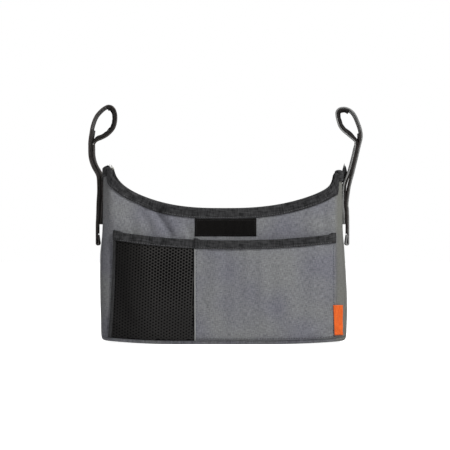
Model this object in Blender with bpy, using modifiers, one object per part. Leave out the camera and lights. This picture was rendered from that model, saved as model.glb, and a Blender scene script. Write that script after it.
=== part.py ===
"""A stroller organizer: an open padded bag that hangs on a stroller's handle by two strap loops.

Metres, +Z up, front towards -Y. The origin is on the floor under the middle of the bag's base.

Every wall of the body is a sheet laid on one shared form, the section: a rounded rectangle that
swells a little between the base and the mouth. A point of it is given by the distance round the
bag from the middle of the front (positive to the right), the height, and the depth under the
shell's outer face. Shell, foam, lining, pockets and binding all take their places from it.
"""

import math

import bmesh
import bpy
from mathutils import Matrix, Vector

# Body, outside
BODY_WIDTH = 0.327
BODY_DEPTH = 0.116
CORNER_RADIUS = 0.015
SIDE_SWELL = 0.003
FRONT_SWELL = 0.0035
BASE_SEAM_HEIGHT = 0.005
BASE_EDGE_RADIUS = 0.0045
BASE_FLAT_LENGTH = 0.120
BASE_END_LIFT = 0.0045

# Mouth: heights of the wall's top edge
FRONT_DIP_HEIGHT = 0.180
BACK_OVER_FRONT = 0.0045
SWEEP_RISE = 0.038
SWEEP_POWER = 2.6
FRONT_CORNER_RISE = 0.0155
BACK_CORNER_RISE = 0.0145
CORNER_POWER = 18
CORNER_LEAN = 0.004
LEAN_POWER = 3
PEAK_TURN = math.radians(30)
SIDE_ARCH = 0.003

# Cloth and padding
CLEARANCE = 0.0003
SHELL_CLOTH = 0.0012
FOAM = 0.0024
FOAM_MARGIN = 0.002
LINING_CLOTH = 0.0008
SHELL_SEAM_TURN = math.radians(65)
BOARD_THICKNESS = 0.002
DIVIDER_THICKNESS = 0.0028
DIVIDER_HEIGHT = 0.120
DIVIDER_PLACE = 0.072

# Binding tape
TAPE = 0.001
TAPE_CLEARANCE = 0.0006
RIM_TAPE_WIDTH = 0.0115
RIM_END_GAP = 0.0005
RIM_CROWN = 0.0014
POCKET_TAPE_WIDTH = 0.0113
POCKET_CROWN = 0.0006
TRIM_WIDTH = 0.003
TRIM_THICKNESS = 0.0016

# Front pockets
POCKET_SPLIT = -0.0378
POCKET_DIP_PLACE = 0.010
POCKET_DIP_HEIGHT = 0.1393
POCKET_LEFT_RISE = 0.0135
POCKET_RIGHT_RISE = 0.0076
POCKET_CLOTH = 0.0012
POCKET_FULLNESS = 0.0095
FULLNESS_POWER = 1.2
STANDOFF_RAMP = 1.15
BACKING_CLOTH = 0.0006
NET_CLOTH = 0.0009
NET_FULLNESS = 0.0080
NET_COLUMNS = 7
NET_ROWS = 9
NET_CORD = 0.0026
NET_HEM = 0.004
NET_LEAN = 0.003

# Patch under the front binding
PATCH_WIDTH = 0.0816
PATCH_HEIGHT = 0.0254
PATCH_PLACE = 0.0042
PATCH_THICKNESS = 0.0016

# Side tag, a folded ribbon
TAG_LENGTH = 0.0130
TAG_HEIGHT = 0.041
TAG_BOTTOM = 0.0122
TAG_RIBBON = 0.0006
TAG_SEAM_CLEARANCE = 0.0008

# Straps
STRAP_WIDTH = 0.025
WEBBING = 0.0020
GRIP_TAPE = 0.0018
STRAP_ROOT_HEIGHT = 0.161
STRAP_SEWN_LENGTH = 0.046
TAIL_DROP = 0.026
HEM_LENGTH = 0.012
LOOP_TAPE_END = 0.6
HOOK_TAPE_START = 0.875

# The line on which each closed strap's two layers meet, above the bag: (distance out from the
# side of the mouth, height over the strap's root).
LEFT_CLOSURE = ((0.0060, 0.0628), (0.0080, 0.0697), (0.0119, 0.0779), (0.0152, 0.0854),
                (0.0168, 0.0929), (0.0169, 0.1011), (0.0164, 0.1093))
RIGHT_CLOSURE = ((0.0072, 0.0590), (0.0106, 0.0680), (0.0135, 0.0765), (0.0160, 0.0854),
                 (0.0182, 0.0950), (0.0202, 0.1045), (0.0213, 0.1114))
# The outer face of each loop, from the layer nearer the bag, over the top and down.
LEFT_LOOP = ((0.0090, 0.1138), (0.0033, 0.1166), (-0.0042, 0.1207), (-0.0108, 0.1267),
             (-0.0149, 0.1333), (-0.0169, 0.1428), (-0.0163, 0.1520), (-0.0128, 0.1590),
             (-0.0070, 0.1624), (-0.0008, 0.1602), (0.0053, 0.1551), (0.0108, 0.1483),
             (0.0145, 0.1401), (0.0170, 0.1312), (0.0186, 0.1220))
RIGHT_LOOP = ((0.0128, 0.1175), (0.0074, 0.1222), (0.0012, 0.1272), (-0.0034, 0.1331),
              (-0.0062, 0.1408), (-0.0079, 0.1490), (-0.0071, 0.1551), (-0.0029, 0.1592),
              (0.0033, 0.1606), (0.0097, 0.1587), (0.0149, 0.1544), (0.0190, 0.1479),
              (0.0221, 0.1408), (0.0250, 0.1328), (0.0266, 0.1257), (0.0268, 0.1189))

# How finely the cloth is divided
LEAST_STEP = 0.0012
FRONT_COLUMNS = 10
CORNER_COLUMNS = 5
SIDE_COLUMNS = 4
WALL_ROWS = 6
INNER_ROWS = 4
POCKET_ROWS = 6
CURVE_STEPS = 2
BEND_STEPS = 6
EDGE_STEPS = 3
SMOOTH_ANGLE = math.radians(40)

HALF_WIDTH = BODY_WIDTH / 2
HALF_DEPTH = BODY_DEPTH / 2
FRONT_REACH = HALF_WIDTH - CORNER_RADIUS
CORNER_ARC = CORNER_RADIUS * math.pi / 2
QUARTER_ROUND = FRONT_REACH + CORNER_ARC + HALF_DEPTH - CORNER_RADIUS
HALF_ROUND = 2 * QUARTER_ROUND
FRONT_PEAK = FRONT_REACH + CORNER_RADIUS * PEAK_TURN
BACK_PEAK = HALF_ROUND - FRONT_PEAK
SHELL_SEAM = FRONT_REACH + CORNER_RADIUS * SHELL_SEAM_TURN
BACK_DIP_HEIGHT = FRONT_DIP_HEIGHT + BACK_OVER_FRONT
FOAM_DEPTH = SHELL_CLOTH + CLEARANCE
LINING_DEPTH = FOAM_DEPTH + FOAM + CLEARANCE
WALL_DEPTH = LINING_DEPTH + LINING_CLOTH
BOARD_BOTTOM = SHELL_CLOTH + CLEARANCE
FLOOR_BOTTOM = BOARD_BOTTOM + BOARD_THICKNESS + CLEARANCE
FLOOR_TOP = FLOOR_BOTTOM + LINING_CLOTH
FRONT_PEAK_HEIGHT = FRONT_DIP_HEIGHT + SWEEP_RISE + FRONT_CORNER_RISE
BACK_PEAK_HEIGHT = BACK_DIP_HEIGHT + SWEEP_RISE + BACK_CORNER_RISE
POCKET_EDGE = FRONT_REACH - CLEARANCE
POCKET_BOTTOM = BASE_SEAM_HEIGHT + CLEARANCE


def base_lift(x, z):
    """How far the base's ends curl up from the floor. It fades to nothing at the mouth's dip."""
    beyond = max(0.0, abs(x) - BASE_FLAT_LENGTH / 2)
    share = beyond / (HALF_WIDTH - BASE_FLAT_LENGTH / 2)
    return BASE_END_LIFT * share * share * max(0.0, 1 - z / FRONT_DIP_HEIGHT)


def wall_point(around, z, depth):
    """The point at a distance round the bag, a height, and a depth under the shell's face."""
    hand = -1 if around < 0 else 1
    around = abs(around)
    facing = -1
    if around > QUARTER_ROUND:
        around = HALF_ROUND - around
        facing = 1
    swell = math.sin(math.pi * min(1.0, max(0.0, z / FRONT_PEAK_HEIGHT)))
    half_width = HALF_WIDTH + SIDE_SWELL / 2 * swell
    corner_x = half_width - CORNER_RADIUS
    corner_y = HALF_DEPTH - CORNER_RADIUS
    if around <= FRONT_REACH:
        share = around / FRONT_REACH
        x = corner_x * share
        y = HALF_DEPTH - depth + FRONT_SWELL * swell * (1 - share * share)
    elif around <= FRONT_REACH + CORNER_ARC:
        turn = (around - FRONT_REACH) / CORNER_RADIUS
        x = corner_x + (CORNER_RADIUS - depth) * math.sin(turn)
        y = corner_y + (CORNER_RADIUS - depth) * math.cos(turn)
    else:
        y = QUARTER_ROUND - around
        share = y / corner_y
        x = half_width - depth + SIDE_SWELL / 2 * swell * (1 - share * share)
    return Vector((hand * x, facing * y, z + base_lift(x, z)))


def mouth_height(around):
    """The height of the wall's top edge, which dips at the front and back and peaks at the corners.

    The left corners stand a little higher than the right ones, as the bag hangs.
    """
    lean = CORNER_LEAN if around < 0 else -CORNER_LEAN
    around = abs(around)
    if FRONT_PEAK < around < BACK_PEAK:
        share = (around - FRONT_PEAK) / (BACK_PEAK - FRONT_PEAK)
        arch = 4 * SIDE_ARCH * share * (1 - share)
        return FRONT_PEAK_HEIGHT + (BACK_PEAK_HEIGHT - FRONT_PEAK_HEIGHT) * share + arch + lean
    if around <= FRONT_PEAK:
        dip, corner_rise = FRONT_DIP_HEIGHT, FRONT_CORNER_RISE
    else:
        dip, corner_rise = BACK_DIP_HEIGHT, BACK_CORNER_RISE
        around = HALF_ROUND - around
    share = around / FRONT_PEAK
    rise = SWEEP_RISE * share**SWEEP_POWER + corner_rise * share**CORNER_POWER
    return dip + rise + lean * share**LEAN_POWER


def pocket_height(around):
    """The height of the pockets' top edge."""
    if around < POCKET_DIP_PLACE:
        share = (POCKET_DIP_PLACE - around) / (POCKET_DIP_PLACE + FRONT_REACH)
        return POCKET_DIP_HEIGHT + POCKET_LEFT_RISE * share * share
    share = (around - POCKET_DIP_PLACE) / (FRONT_REACH - POCKET_DIP_PLACE)
    return POCKET_DIP_HEIGHT + POCKET_RIGHT_RISE * share * share


def stations(start, end):
    """Distances round the bag at which cloth between start and end is divided, ends included."""
    turns = [math.pi / 2 * share for share in shares(FRONT_COLUMNS)]
    quarter = [FRONT_REACH * math.sin(turn) for turn in turns]
    quarter += [FRONT_REACH + CORNER_ARC * share for share in shares(CORNER_COLUMNS)[1:]]
    side_half = QUARTER_ROUND - FRONT_REACH - CORNER_ARC
    quarter += [QUARTER_ROUND - side_half * step / SIDE_COLUMNS for step in range(SIDE_COLUMNS - 1, -1, -2)]
    half = quarter + [HALF_ROUND - place for place in quarter]
    every = sorted({round(hand * place, 7) for place in half for hand in (-1, 1)})
    inner = [place for place in every if start + LEAST_STEP < place < end - LEAST_STEP]
    return [start, *inner, end]


def shares(count):
    """Even steps from 0 to 1."""
    return [step / count for step in range(count + 1)]


def make_material(name, colour, roughness):
    """A Principled material in one colour, given as sRGB red, green and blue from 0 to 255."""
    material = bpy.data.materials.new(name)
    material.use_nodes = True
    shader = material.node_tree.nodes["Principled BSDF"]
    linear = [((part / 255 + 0.055) / 1.055) ** 2.4 for part in colour]
    shader.inputs["Base Color"].default_value = (*linear, 1.0)
    shader.inputs["Roughness"].default_value = roughness
    shader.inputs["Metallic"].default_value = 0.0
    material.diffuse_color = (*linear, 1.0)
    return material


def finish_piece(name, form, material):
    """The object made from a bmesh, in the organizer's collection."""
    mesh = bpy.data.meshes.new(name)
    form.to_mesh(mesh)
    form.free()
    mesh.materials.append(material)
    mesh.shade_smooth()
    mesh.set_sharp_from_angle(angle=SMOOTH_ANGLE)
    piece = bpy.data.objects.new(name, mesh)
    organizer.objects.link(piece)
    return piece


def thicken(piece, thickness, outward=False):
    """Gives an open sheet its thickness, on the inner side unless outward is asked."""
    solidify = piece.modifiers.new("thickness", "SOLIDIFY")
    solidify.thickness = thickness
    solidify.offset = 1 if outward else -1


def laid_grid(across, up, place):
    """A grid as a bmesh, its points put where place(across, up) says."""
    form = bmesh.new()
    bmesh.ops.create_grid(form, x_segments=len(across) - 1, y_segments=len(up) - 1, size=0.5)
    for vert in form.verts:
        column = round((vert.co.x + 0.5) * (len(across) - 1))
        row = round((vert.co.y + 0.5) * (len(up) - 1))
        vert.co = place(across[column], up[row])
    return form


def wall_sheet(name, start, end, bottom, top_of, depth, thickness, material, rows=WALL_ROWS):
    """A sheet of the wall from start to end round the bag, between bottom and top_of(around)."""

    def place(around, share):
        z = bottom + (top_of(around) - bottom) * share
        return wall_point(around, z, depth)

    form = laid_grid(stations(start, end), shares(rows), place)
    if end - start >= 2 * HALF_ROUND:
        bmesh.ops.remove_doubles(form, verts=form.verts, dist=1e-6)
    piece = finish_piece(name, form, material)
    thicken(piece, thickness)
    return piece


def make_walls():
    """The shell, its foam and its lining, panel by panel."""
    half_gap = CLEARANCE / 2
    bottom = BASE_SEAM_HEIGHT + CLEARANCE
    front = SHELL_SEAM - half_gap
    side_from = SHELL_SEAM + half_gap
    side_to = HALF_ROUND - side_from
    panels = {
        "front": (-front, front),
        "right_side": (side_from, side_to),
        "left_side": (-side_to, -side_from),
    }
    for side, (start, end) in panels.items():
        wall_sheet(f"{side}_panel", start, end, bottom, mouth_height, 0.0, SHELL_CLOTH, shell_cloth)
        wall_sheet(
            f"{side}_foam", start + FOAM_MARGIN, end - FOAM_MARGIN, bottom, mouth_height,
            FOAM_DEPTH, FOAM, foam, rows=INNER_ROWS,
        )
    # The back is the front turned round, so its distances run on through the back's middle.
    for name, reach, depth, thickness, cloth, rows in (
        ("back_panel", front, 0.0, SHELL_CLOTH, shell_cloth, WALL_ROWS),
        ("back_foam", front - FOAM_MARGIN, FOAM_DEPTH, FOAM, foam, INNER_ROWS),
    ):
        across = stations(-reach, reach)

        def place(offset, share, depth=depth):
            around = math.copysign(HALF_ROUND - abs(offset), -offset)
            z = bottom + (mouth_height(around) - bottom) * share
            return wall_point(around, z, depth)

        thicken(finish_piece(name, laid_grid(across, shares(rows), place), cloth), thickness)
    wall_sheet(
        "lining_walls", -HALF_ROUND, HALF_ROUND, FLOOR_TOP + CLEARANCE, mouth_height,
        LINING_DEPTH, LINING_CLOTH, lining_cloth, rows=INNER_ROWS,
    )


def rounded_slab(inset, bottom, top, open_top):
    """A slab with the section's rounded outline, curling up at its ends as the base does."""
    form = bmesh.new()
    bmesh.ops.create_cube(form, size=1.0)
    size = Vector((2 * (HALF_WIDTH - inset), 2 * (HALF_DEPTH - inset), top - bottom))
    middle = Vector((0, 0, (bottom + top) / 2))
    bmesh.ops.transform(form, matrix=Matrix.LocRotScale(middle, None, size), verts=form.verts)
    upright = [edge for edge in form.edges if abs(edge.verts[0].co.z - edge.verts[1].co.z) > 1e-6]
    bmesh.ops.bevel(
        form, geom=upright, offset=CORNER_RADIUS - inset, segments=CORNER_COLUMNS,
        profile=0.5, affect="EDGES",
    )
    if open_top:
        lid = [face for face in form.faces if face.normal.z > 0.9]
        bmesh.ops.delete(form, geom=lid, context="FACES")
        rim_low = [edge for edge in form.edges if max(vert.co.z for vert in edge.verts) < bottom + 1e-6]
        bmesh.ops.bevel(
            form, geom=rim_low, offset=BASE_EDGE_RADIUS, segments=EDGE_STEPS,
            profile=0.5, affect="EDGES",
        )
    bend_lines = [BASE_FLAT_LENGTH / 2, (HALF_WIDTH + BASE_FLAT_LENGTH / 2) / 2]
    for place in (*bend_lines, *(-line for line in bend_lines)):
        bmesh.ops.bisect_plane(
            form, geom=[*form.verts, *form.edges, *form.faces],
            plane_co=(place, 0, 0), plane_no=(1, 0, 0),
        )
    for vert in form.verts:
        vert.co.z += base_lift(vert.co.x, vert.co.z)
    return form


def make_base():
    """The base panel with its turned-up edge, the stiffening board, and the lining's floor."""
    tray = finish_piece("base_panel", rounded_slab(0.0, 0.0, BASE_SEAM_HEIGHT, True), shell_cloth)
    thicken(tray, SHELL_CLOTH)
    board_inset = BASE_EDGE_RADIUS + CLEARANCE
    board_top = BOARD_BOTTOM + BOARD_THICKNESS
    finish_piece("base_board", rounded_slab(board_inset, BOARD_BOTTOM, board_top, False), board)
    finish_piece(
        "lining_floor", rounded_slab(LINING_DEPTH, FLOOR_BOTTOM, FLOOR_TOP, False), lining_cloth
    )


def make_dividers():
    """Two padded walls across the inside, which make a cup compartment at each end."""
    for side, hand in (("left", -1), ("right", 1)):

        def place(across, up, hand=hand):
            around = hand * DIVIDER_PLACE
            z = FLOOR_TOP + CLEARANCE + (DIVIDER_HEIGHT - FLOOR_TOP - CLEARANCE) * up
            wall = wall_point(around, z, WALL_DEPTH + CLEARANCE)
            return Vector((wall.x, -wall.y * across, wall.z))

        form = laid_grid([-1.0, 1.0], shares(INNER_ROWS), place)
        piece = finish_piece(f"{side}_divider", form, lining_cloth)
        thicken(piece, DIVIDER_THICKNESS)
        piece.modifiers["thickness"].offset = 0


def bound_edge(name, across, top_of, depth_of, wall, width, crown, material):
    """Tape folded over an edge of the wall: down the outside, over the top, and down the inside.

    The edge runs through the distances in across at height top_of. The cloth under the tape lies
    from depth_of(around, z) inwards by wall. The tape lies square to its edge and turns to an
    upright cut at both ends.
    """
    fold = wall + 2 * TAPE_CLEARANCE
    turning = 2 * width
    section = [(width, 0.0), (0.0, 0.0), (-crown * 0.75, 0.15), (-crown, 0.5)]
    section += [(drop, 1 - inward) for drop, inward in reversed(section[:-1])]

    def square(around):
        step = 1e-4
        slope = (top_of(around + step) - top_of(around - step)) / (2 * step)
        return Vector((slope, -1.0)).normalized()

    def direction_at(around):
        level = square(around)
        share = min(1.0, (around - across[0]) / turning, (across[-1] - around) / turning)
        turned = Vector((0.0, -1.0)) * (1 - share) + level * share
        return turned / turned.dot(level)

    def place(around, index):
        drop, inward = section[round(index)]
        direction = direction_at(around)
        along = around + direction.x * drop
        z = top_of(around) + direction.y * drop
        rise = CLEARANCE if drop <= 0 else 0.0
        return wall_point(along, z + rise, depth_of(along, z) - TAPE_CLEARANCE + fold * inward)

    form = laid_grid(across, list(range(len(section))), place)
    piece = finish_piece(name, form, material)
    thicken(piece, TAPE, outward=True)
    return piece


def make_rim_binding():
    """Four lengths of tape round the mouth, cut upright where the top edge peaks at the corners."""

    def shell_face(around, z):
        return 0.0

    def back_height(around):
        """The back's edge on the front's stations, from which the tape is turned to the back."""
        return mouth_height(math.copysign(HALF_ROUND - abs(around), -around))

    front_end = FRONT_PEAK - RIM_END_GAP
    side_from, side_to = FRONT_PEAK + RIM_END_GAP, BACK_PEAK - RIM_END_GAP
    lengths = {
        "front": (-front_end, front_end, mouth_height),
        "right": (side_from, side_to, mouth_height),
        "left": (-side_to, -side_from, mouth_height),
        "back": (-front_end, front_end, back_height),
    }
    for side, (start, end, top_of) in lengths.items():
        piece = bound_edge(
            f"{side}_rim_binding", stations(start, end), top_of, shell_face, WALL_DEPTH,
            RIM_TAPE_WIDTH, RIM_CROWN, tape,
        )
        if side == "back":
            piece.data.transform(Matrix.Rotation(math.pi, 4, "Z"))


def pocket_standoff(start, end, fullness, around, z):
    """How far a pocket's inner face stands off the front panel."""
    up = max(0.0, (z - POCKET_BOTTOM) / (pocket_height(around) - POCKET_BOTTOM))
    across = min(1.0, max(0.0, (around - start) / (end - start)))
    seam = CLEARANCE + (TAPE + CLEARANCE + TAPE_CLEARANCE) * min(1.0, up * STANDOFF_RAMP)
    return seam + fullness * math.sin(math.pi * across) * up**FULLNESS_POWER


def make_pocket(name, start, end, fullness, cloth, material):
    """A pocket with a bound top edge. Its sides and bottom are sewn down to the front panel."""

    def depth_of(around, z):
        return -pocket_standoff(start, end, fullness, around, z) - cloth

    def place(around, share):
        z = POCKET_BOTTOM + (pocket_height(around) - POCKET_BOTTOM) * share
        return wall_point(around, z, depth_of(around, z))

    form = laid_grid(stations(start, end), shares(POCKET_ROWS), place)
    thicken(finish_piece(name, form, material), cloth)
    bound_edge(
        f"{name}_binding", stations(start, end), pocket_height, depth_of, cloth,
        POCKET_TAPE_WIDTH, POCKET_CROWN, tape,
    )


def make_net_pocket():
    """The net pocket: a wall of open cells with a plain hem, and a trim down its outer edge.

    Its outer edge leans towards the middle as it rises. Black cloth on the front panel backs it.
    """
    start = -POCKET_EDGE
    end = POCKET_SPLIT - CLEARANCE / 2
    net_start = start + TRIM_WIDTH + CLEARANCE
    backing_face = -CLEARANCE - BACKING_CLOTH

    def leaning(around, up):
        return around + NET_LEAN * up * (end - around) / (end - start)

    def depth_of(around, z):
        return backing_face - pocket_standoff(start, end, NET_FULLNESS, around, z) - NET_CLOTH

    def place_backing(across, up):
        around = leaning(across, up)
        z = POCKET_BOTTOM + (pocket_height(around) - POCKET_BOTTOM) * up
        return wall_point(around, z, backing_face)

    def place(across, up):
        around = leaning(across, up)
        z = POCKET_BOTTOM + (pocket_height(around) - POCKET_BOTTOM) * up
        return wall_point(around, z, depth_of(around, z))

    form = laid_grid(stations(start, end), shares(POCKET_ROWS), place_backing)
    thicken(finish_piece("net_pocket_backing", form, backing), BACKING_CLOTH)
    height = POCKET_DIP_HEIGHT - POCKET_BOTTOM
    hem_low = NET_HEM / height
    hem_high = 1 - (POCKET_TAPE_WIDTH + CLEARANCE) / height
    inner_start, inner_end = net_start + NET_HEM, end - NET_HEM
    columns = [inner_start + (inner_end - inner_start) * share for share in shares(NET_COLUMNS)]
    rows = [hem_low + (hem_high - hem_low) * share for share in shares(NET_ROWS)]
    form = laid_grid([net_start, *columns, end], [0.0, *rows, 1.0], place)
    open_cells(form)
    thicken(finish_piece("net_pocket", form, net), NET_CLOTH)
    bound_edge(
        "net_pocket_binding", stations(leaning(start, 1.0), end), pocket_height, depth_of,
        NET_CLOTH, POCKET_TAPE_WIDTH, POCKET_CROWN, tape,
    )

    def place_trim(across, up):
        around = leaning(across, up)
        top = pocket_height(around) - POCKET_TAPE_WIDTH - 2 * CLEARANCE
        z = POCKET_BOTTOM + (top - POCKET_BOTTOM) * up
        return wall_point(around, z, backing_face - CLEARANCE - TRIM_THICKNESS)

    form = laid_grid([start, start + TRIM_WIDTH], shares(WALL_ROWS), place_trim)
    thicken(finish_piece("net_pocket_trim", form, tape), TRIM_THICKNESS)


def open_cells(form):
    """Opens a grid into a net: each inner edge between two quads becomes one diamond cell."""
    middle = [face for face in form.faces if not any(edge.is_boundary for edge in face.edges)]
    inside = set(middle)
    crossed = [edge for edge in form.edges if all(face in inside for face in edge.link_faces)]
    centres = set(bmesh.ops.poke(form, faces=middle)["verts"])
    bmesh.ops.dissolve_edges(form, edges=crossed, use_verts=False)
    cells = [face for face in form.faces if len(centres.intersection(face.verts)) == 2]
    bmesh.ops.inset_individual(form, faces=cells, thickness=NET_CORD / 2, use_even_offset=True)
    bmesh.ops.delete(form, geom=cells, context="FACES")


def make_patch():
    """The hook-and-loop patch sewn on the front, its upper edge against the binding."""
    start = PATCH_PLACE - PATCH_WIDTH / 2

    def top(around):
        return mouth_height(around) - RIM_TAPE_WIDTH - 2 * CLEARANCE

    bottom = FRONT_DIP_HEIGHT - RIM_TAPE_WIDTH - PATCH_HEIGHT
    wall_sheet(
        "front_patch", start, start + PATCH_WIDTH, bottom, top,
        -CLEARANCE - PATCH_THICKNESS, PATCH_THICKNESS, loop_pile, rows=2,
    )


def ribbon(name, path, span, thickness, material):
    """A flat ribbon: its left face runs along the path, and span is its whole width."""

    def place(index, side):
        return path[index] + span * side

    form = laid_grid(list(range(len(path))), [-0.5, 0.5], place)
    piece = finish_piece(name, form, material)
    thicken(piece, thickness)
    return piece


def smooth_line(points, steps):
    """A Catmull-Rom curve through the points."""
    padded = [2 * points[0] - points[1], *points, 2 * points[-1] - points[-2]]
    line = []
    for before, start, end, after in zip(padded, padded[1:], padded[2:], padded[3:]):
        for step in range(steps):
            t = step / steps
            line.append(
                0.5 * (2 * start + (end - before) * t
                       + (2 * before - 5 * start + 4 * end - after) * t * t
                       + (3 * start - before - 3 * end + after) * t**3)
            )
    return [*line, points[-1]]


def moved_across(line, distance):
    """The line moved to its left by a distance, in the XZ plane seen from the front."""
    moved = []
    for index, point in enumerate(line):
        ahead = line[min(index + 1, len(line) - 1)]
        behind = line[max(index - 1, 0)]
        along = (ahead - behind).normalized()
        moved.append(point + Vector((-along.z, 0.0, along.x)) * distance)
    return moved


def make_strap(side, hand, closure, loop):
    """A webbing strap sewn to the side, looped round and closed on itself with hook and loop.

    All of it is worked out as on the right side, where the strap climbs next to the bag, bends
    over into the loop and hangs down outside. The left one is its mirror image.
    """
    layer = WEBBING + CLEARANCE + GRIP_TAPE
    half_stack = layer + CLEARANCE / 2

    def sewn_place(z):
        wall = wall_point(QUARTER_ROUND, z, 0.0)
        return Vector((wall.x + CLEARANCE + half_stack, 0.0, z))

    mouth_side = wall_point(QUARTER_ROUND, mouth_height(QUARTER_ROUND), 0.0).x
    free = [Vector((mouth_side + out, 0.0, STRAP_ROOT_HEIGHT + up)) for out, up in closure]
    sewn = [sewn_place(STRAP_ROOT_HEIGHT + STRAP_SEWN_LENGTH * share) for share in shares(3)]
    meeting = smooth_line(sewn + free, CURVE_STEPS)
    climbing = moved_across(meeting, half_stack)
    tail_end = sewn[0] - Vector((0.0, 0.0, TAIL_DROP))
    hanging = moved_across([tail_end, (tail_end + sewn[0]) / 2, *meeting], -half_stack)[::-1]
    turn = [Vector((mouth_side + out, 0.0, STRAP_ROOT_HEIGHT + up)) for out, up in loop]
    held = [climbing[-2], climbing[-1], *turn, hanging[0], hanging[1]]
    joined = smooth_line(held, CURVE_STEPS)[CURVE_STEPS:-CURVE_STEPS]
    face = climbing[:-1] + joined + hanging[1:]

    # The tail's end is folded up on its inner side into a hem.
    fold = WEBBING + CLEARANCE
    low = face[-1]
    inward = Vector((-1.0, 0.0, 0.0))
    down = Vector((0.0, 0.0, -1.0))
    turn_radius = WEBBING + fold / 2
    hem_turn = [
        low + inward * turn_radius * (1 - math.cos(angle)) + down * turn_radius * math.sin(angle)
        for angle in (math.pi * share for share in shares(BEND_STEPS)[1:])
    ]
    hem = hem_turn + [hem_turn[-1] - down * HEM_LENGTH]
    webbing_face = face + hem

    span = Vector((0.0, STRAP_WIDTH, 0.0))
    tape_line = moved_across(face, -(WEBBING + CLEARANCE))
    loop_end = len(climbing) + round(len(joined) * LOOP_TAPE_END)
    hook_start = len(climbing) + round(len(joined) * HOOK_TAPE_START)
    tail_line = [point for point in tape_line[hook_start:] if point.z > low.z + HEM_LENGTH]
    pieces = [
        ribbon(f"{side}_strap", webbing_face, span, WEBBING, webbing),
        ribbon(f"{side}_strap_loop_tape", tape_line[:loop_end], span, GRIP_TAPE, loop_pile),
        ribbon(f"{side}_strap_hook_tape", tail_line, span, GRIP_TAPE, hook_tape),
    ]
    if hand < 0:
        for piece in pieces:
            piece.data.transform(Matrix.Scale(-1, 4, Vector((1, 0, 0))))
            piece.data.flip_normals()


def make_tag():
    """A ribbon tag folded double, sewn in the right pocket seam and lying round the corner."""
    layer = TAG_RIBBON + CLEARANCE
    start = FRONT_REACH + TAG_SEAM_CLEARANCE
    middle = TAG_BOTTOM + TAG_HEIGHT / 2
    reach = [start + TAG_LENGTH * share for share in shares(BEND_STEPS)]
    outer_depth = -2 * layer
    outer = [wall_point(around, middle, outer_depth) for around in reach]
    inner = [wall_point(around, middle, -CLEARANCE) for around in reversed(reach)]
    tip = wall_point(start + TAG_LENGTH + layer, middle, (outer_depth - CLEARANCE) / 2)
    path = outer + [tip] + inner
    ribbon("side_tag", path, Vector((0.0, 0.0, TAG_HEIGHT)), TAG_RIBBON, tag_ribbon)


for old in list(bpy.data.objects):
    bpy.data.objects.remove(old, do_unlink=True)

organizer = bpy.data.collections.new("stroller_organizer")
bpy.context.scene.collection.children.link(organizer)

shell_cloth = make_material("grey_woven_polyester", (119, 120, 123), 0.9)
foam = make_material("padding_foam", (215, 213, 205), 0.95)
lining_cloth = make_material("grey_lining_cloth", (92, 92, 94), 0.85)
board = make_material("stiffening_board", (60, 60, 62), 0.6)
tape = make_material("black_binding_tape", (48, 48, 49), 0.8)
backing = make_material("black_backing_cloth", (24, 23, 23), 0.85)
net = make_material("black_polyester_net", (40, 39, 39), 0.8)
loop_pile = make_material("black_loop_pile", (22, 21, 19), 1.0)
hook_tape = make_material("black_hook_tape", (26, 25, 24), 0.6)
webbing = make_material("black_webbing", (58, 54, 53), 0.8)
tag_ribbon = make_material("orange_ribbon", (228, 108, 50), 0.7)

make_walls()
make_base()
make_dividers()
make_rim_binding()
make_pocket(
    "grey_pocket", POCKET_SPLIT + CLEARANCE / 2, POCKET_EDGE, POCKET_FULLNESS, POCKET_CLOTH,
    shell_cloth,
)
make_net_pocket()
make_patch()
make_strap("left", -1, LEFT_CLOSURE, LEFT_LOOP)
make_strap("right", 1, RIGHT_CLOSURE, RIGHT_LOOP)
make_tag()
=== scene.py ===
"""The look of a stroller organizer: cloth, net, tape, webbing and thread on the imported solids.

Metres, +Z up, front towards -Y. Every wall of cloth takes its place from one shared section: a
distance round the bag from the middle of the front (positive to the right), a height, and a depth
under the shell's outer face.
"""
import math

import bmesh
import bpy
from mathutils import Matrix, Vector, noise


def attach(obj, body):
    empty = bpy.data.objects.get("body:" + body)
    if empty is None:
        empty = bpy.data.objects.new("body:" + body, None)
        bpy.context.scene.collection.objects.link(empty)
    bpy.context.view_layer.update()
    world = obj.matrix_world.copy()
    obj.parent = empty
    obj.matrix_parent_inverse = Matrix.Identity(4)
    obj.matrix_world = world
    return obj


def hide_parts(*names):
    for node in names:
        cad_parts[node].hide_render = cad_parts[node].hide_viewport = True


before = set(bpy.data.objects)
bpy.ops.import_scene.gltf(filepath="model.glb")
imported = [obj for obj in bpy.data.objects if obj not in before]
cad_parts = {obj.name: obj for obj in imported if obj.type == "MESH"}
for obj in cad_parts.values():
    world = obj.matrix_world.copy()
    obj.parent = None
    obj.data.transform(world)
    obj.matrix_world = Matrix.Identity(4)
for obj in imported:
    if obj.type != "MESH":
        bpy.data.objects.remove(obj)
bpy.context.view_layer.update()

# The shared section, as the solids have it
BODY_WIDTH = 0.327
BODY_DEPTH = 0.116
CORNER_RADIUS = 0.015
SIDE_SWELL = 0.003
FRONT_SWELL = 0.0035
BASE_SEAM_HEIGHT = 0.005
BASE_EDGE_RADIUS = 0.0045
BASE_FLAT_LENGTH = 0.120
BASE_END_LIFT = 0.0045
FRONT_DIP_HEIGHT = 0.180
BACK_OVER_FRONT = 0.0010
SWEEP_RISE = 0.038
SWEEP_POWER = 2.6
FRONT_CORNER_RISE = 0.0155
BACK_CORNER_RISE = 0.0145
CORNER_POWER = 18
CORNER_LEAN = 0.004
LEAN_POWER = 3
PEAK_TURN = math.radians(30)
SIDE_ARCH = 0.003
LEFT_SIDE_DIP = 0.006
BACK_RIGHT_SWEEP = 2.9
BACK_RIGHT_CORNER = 40
FRONT_RIGHT_CORNER = 28

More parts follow.
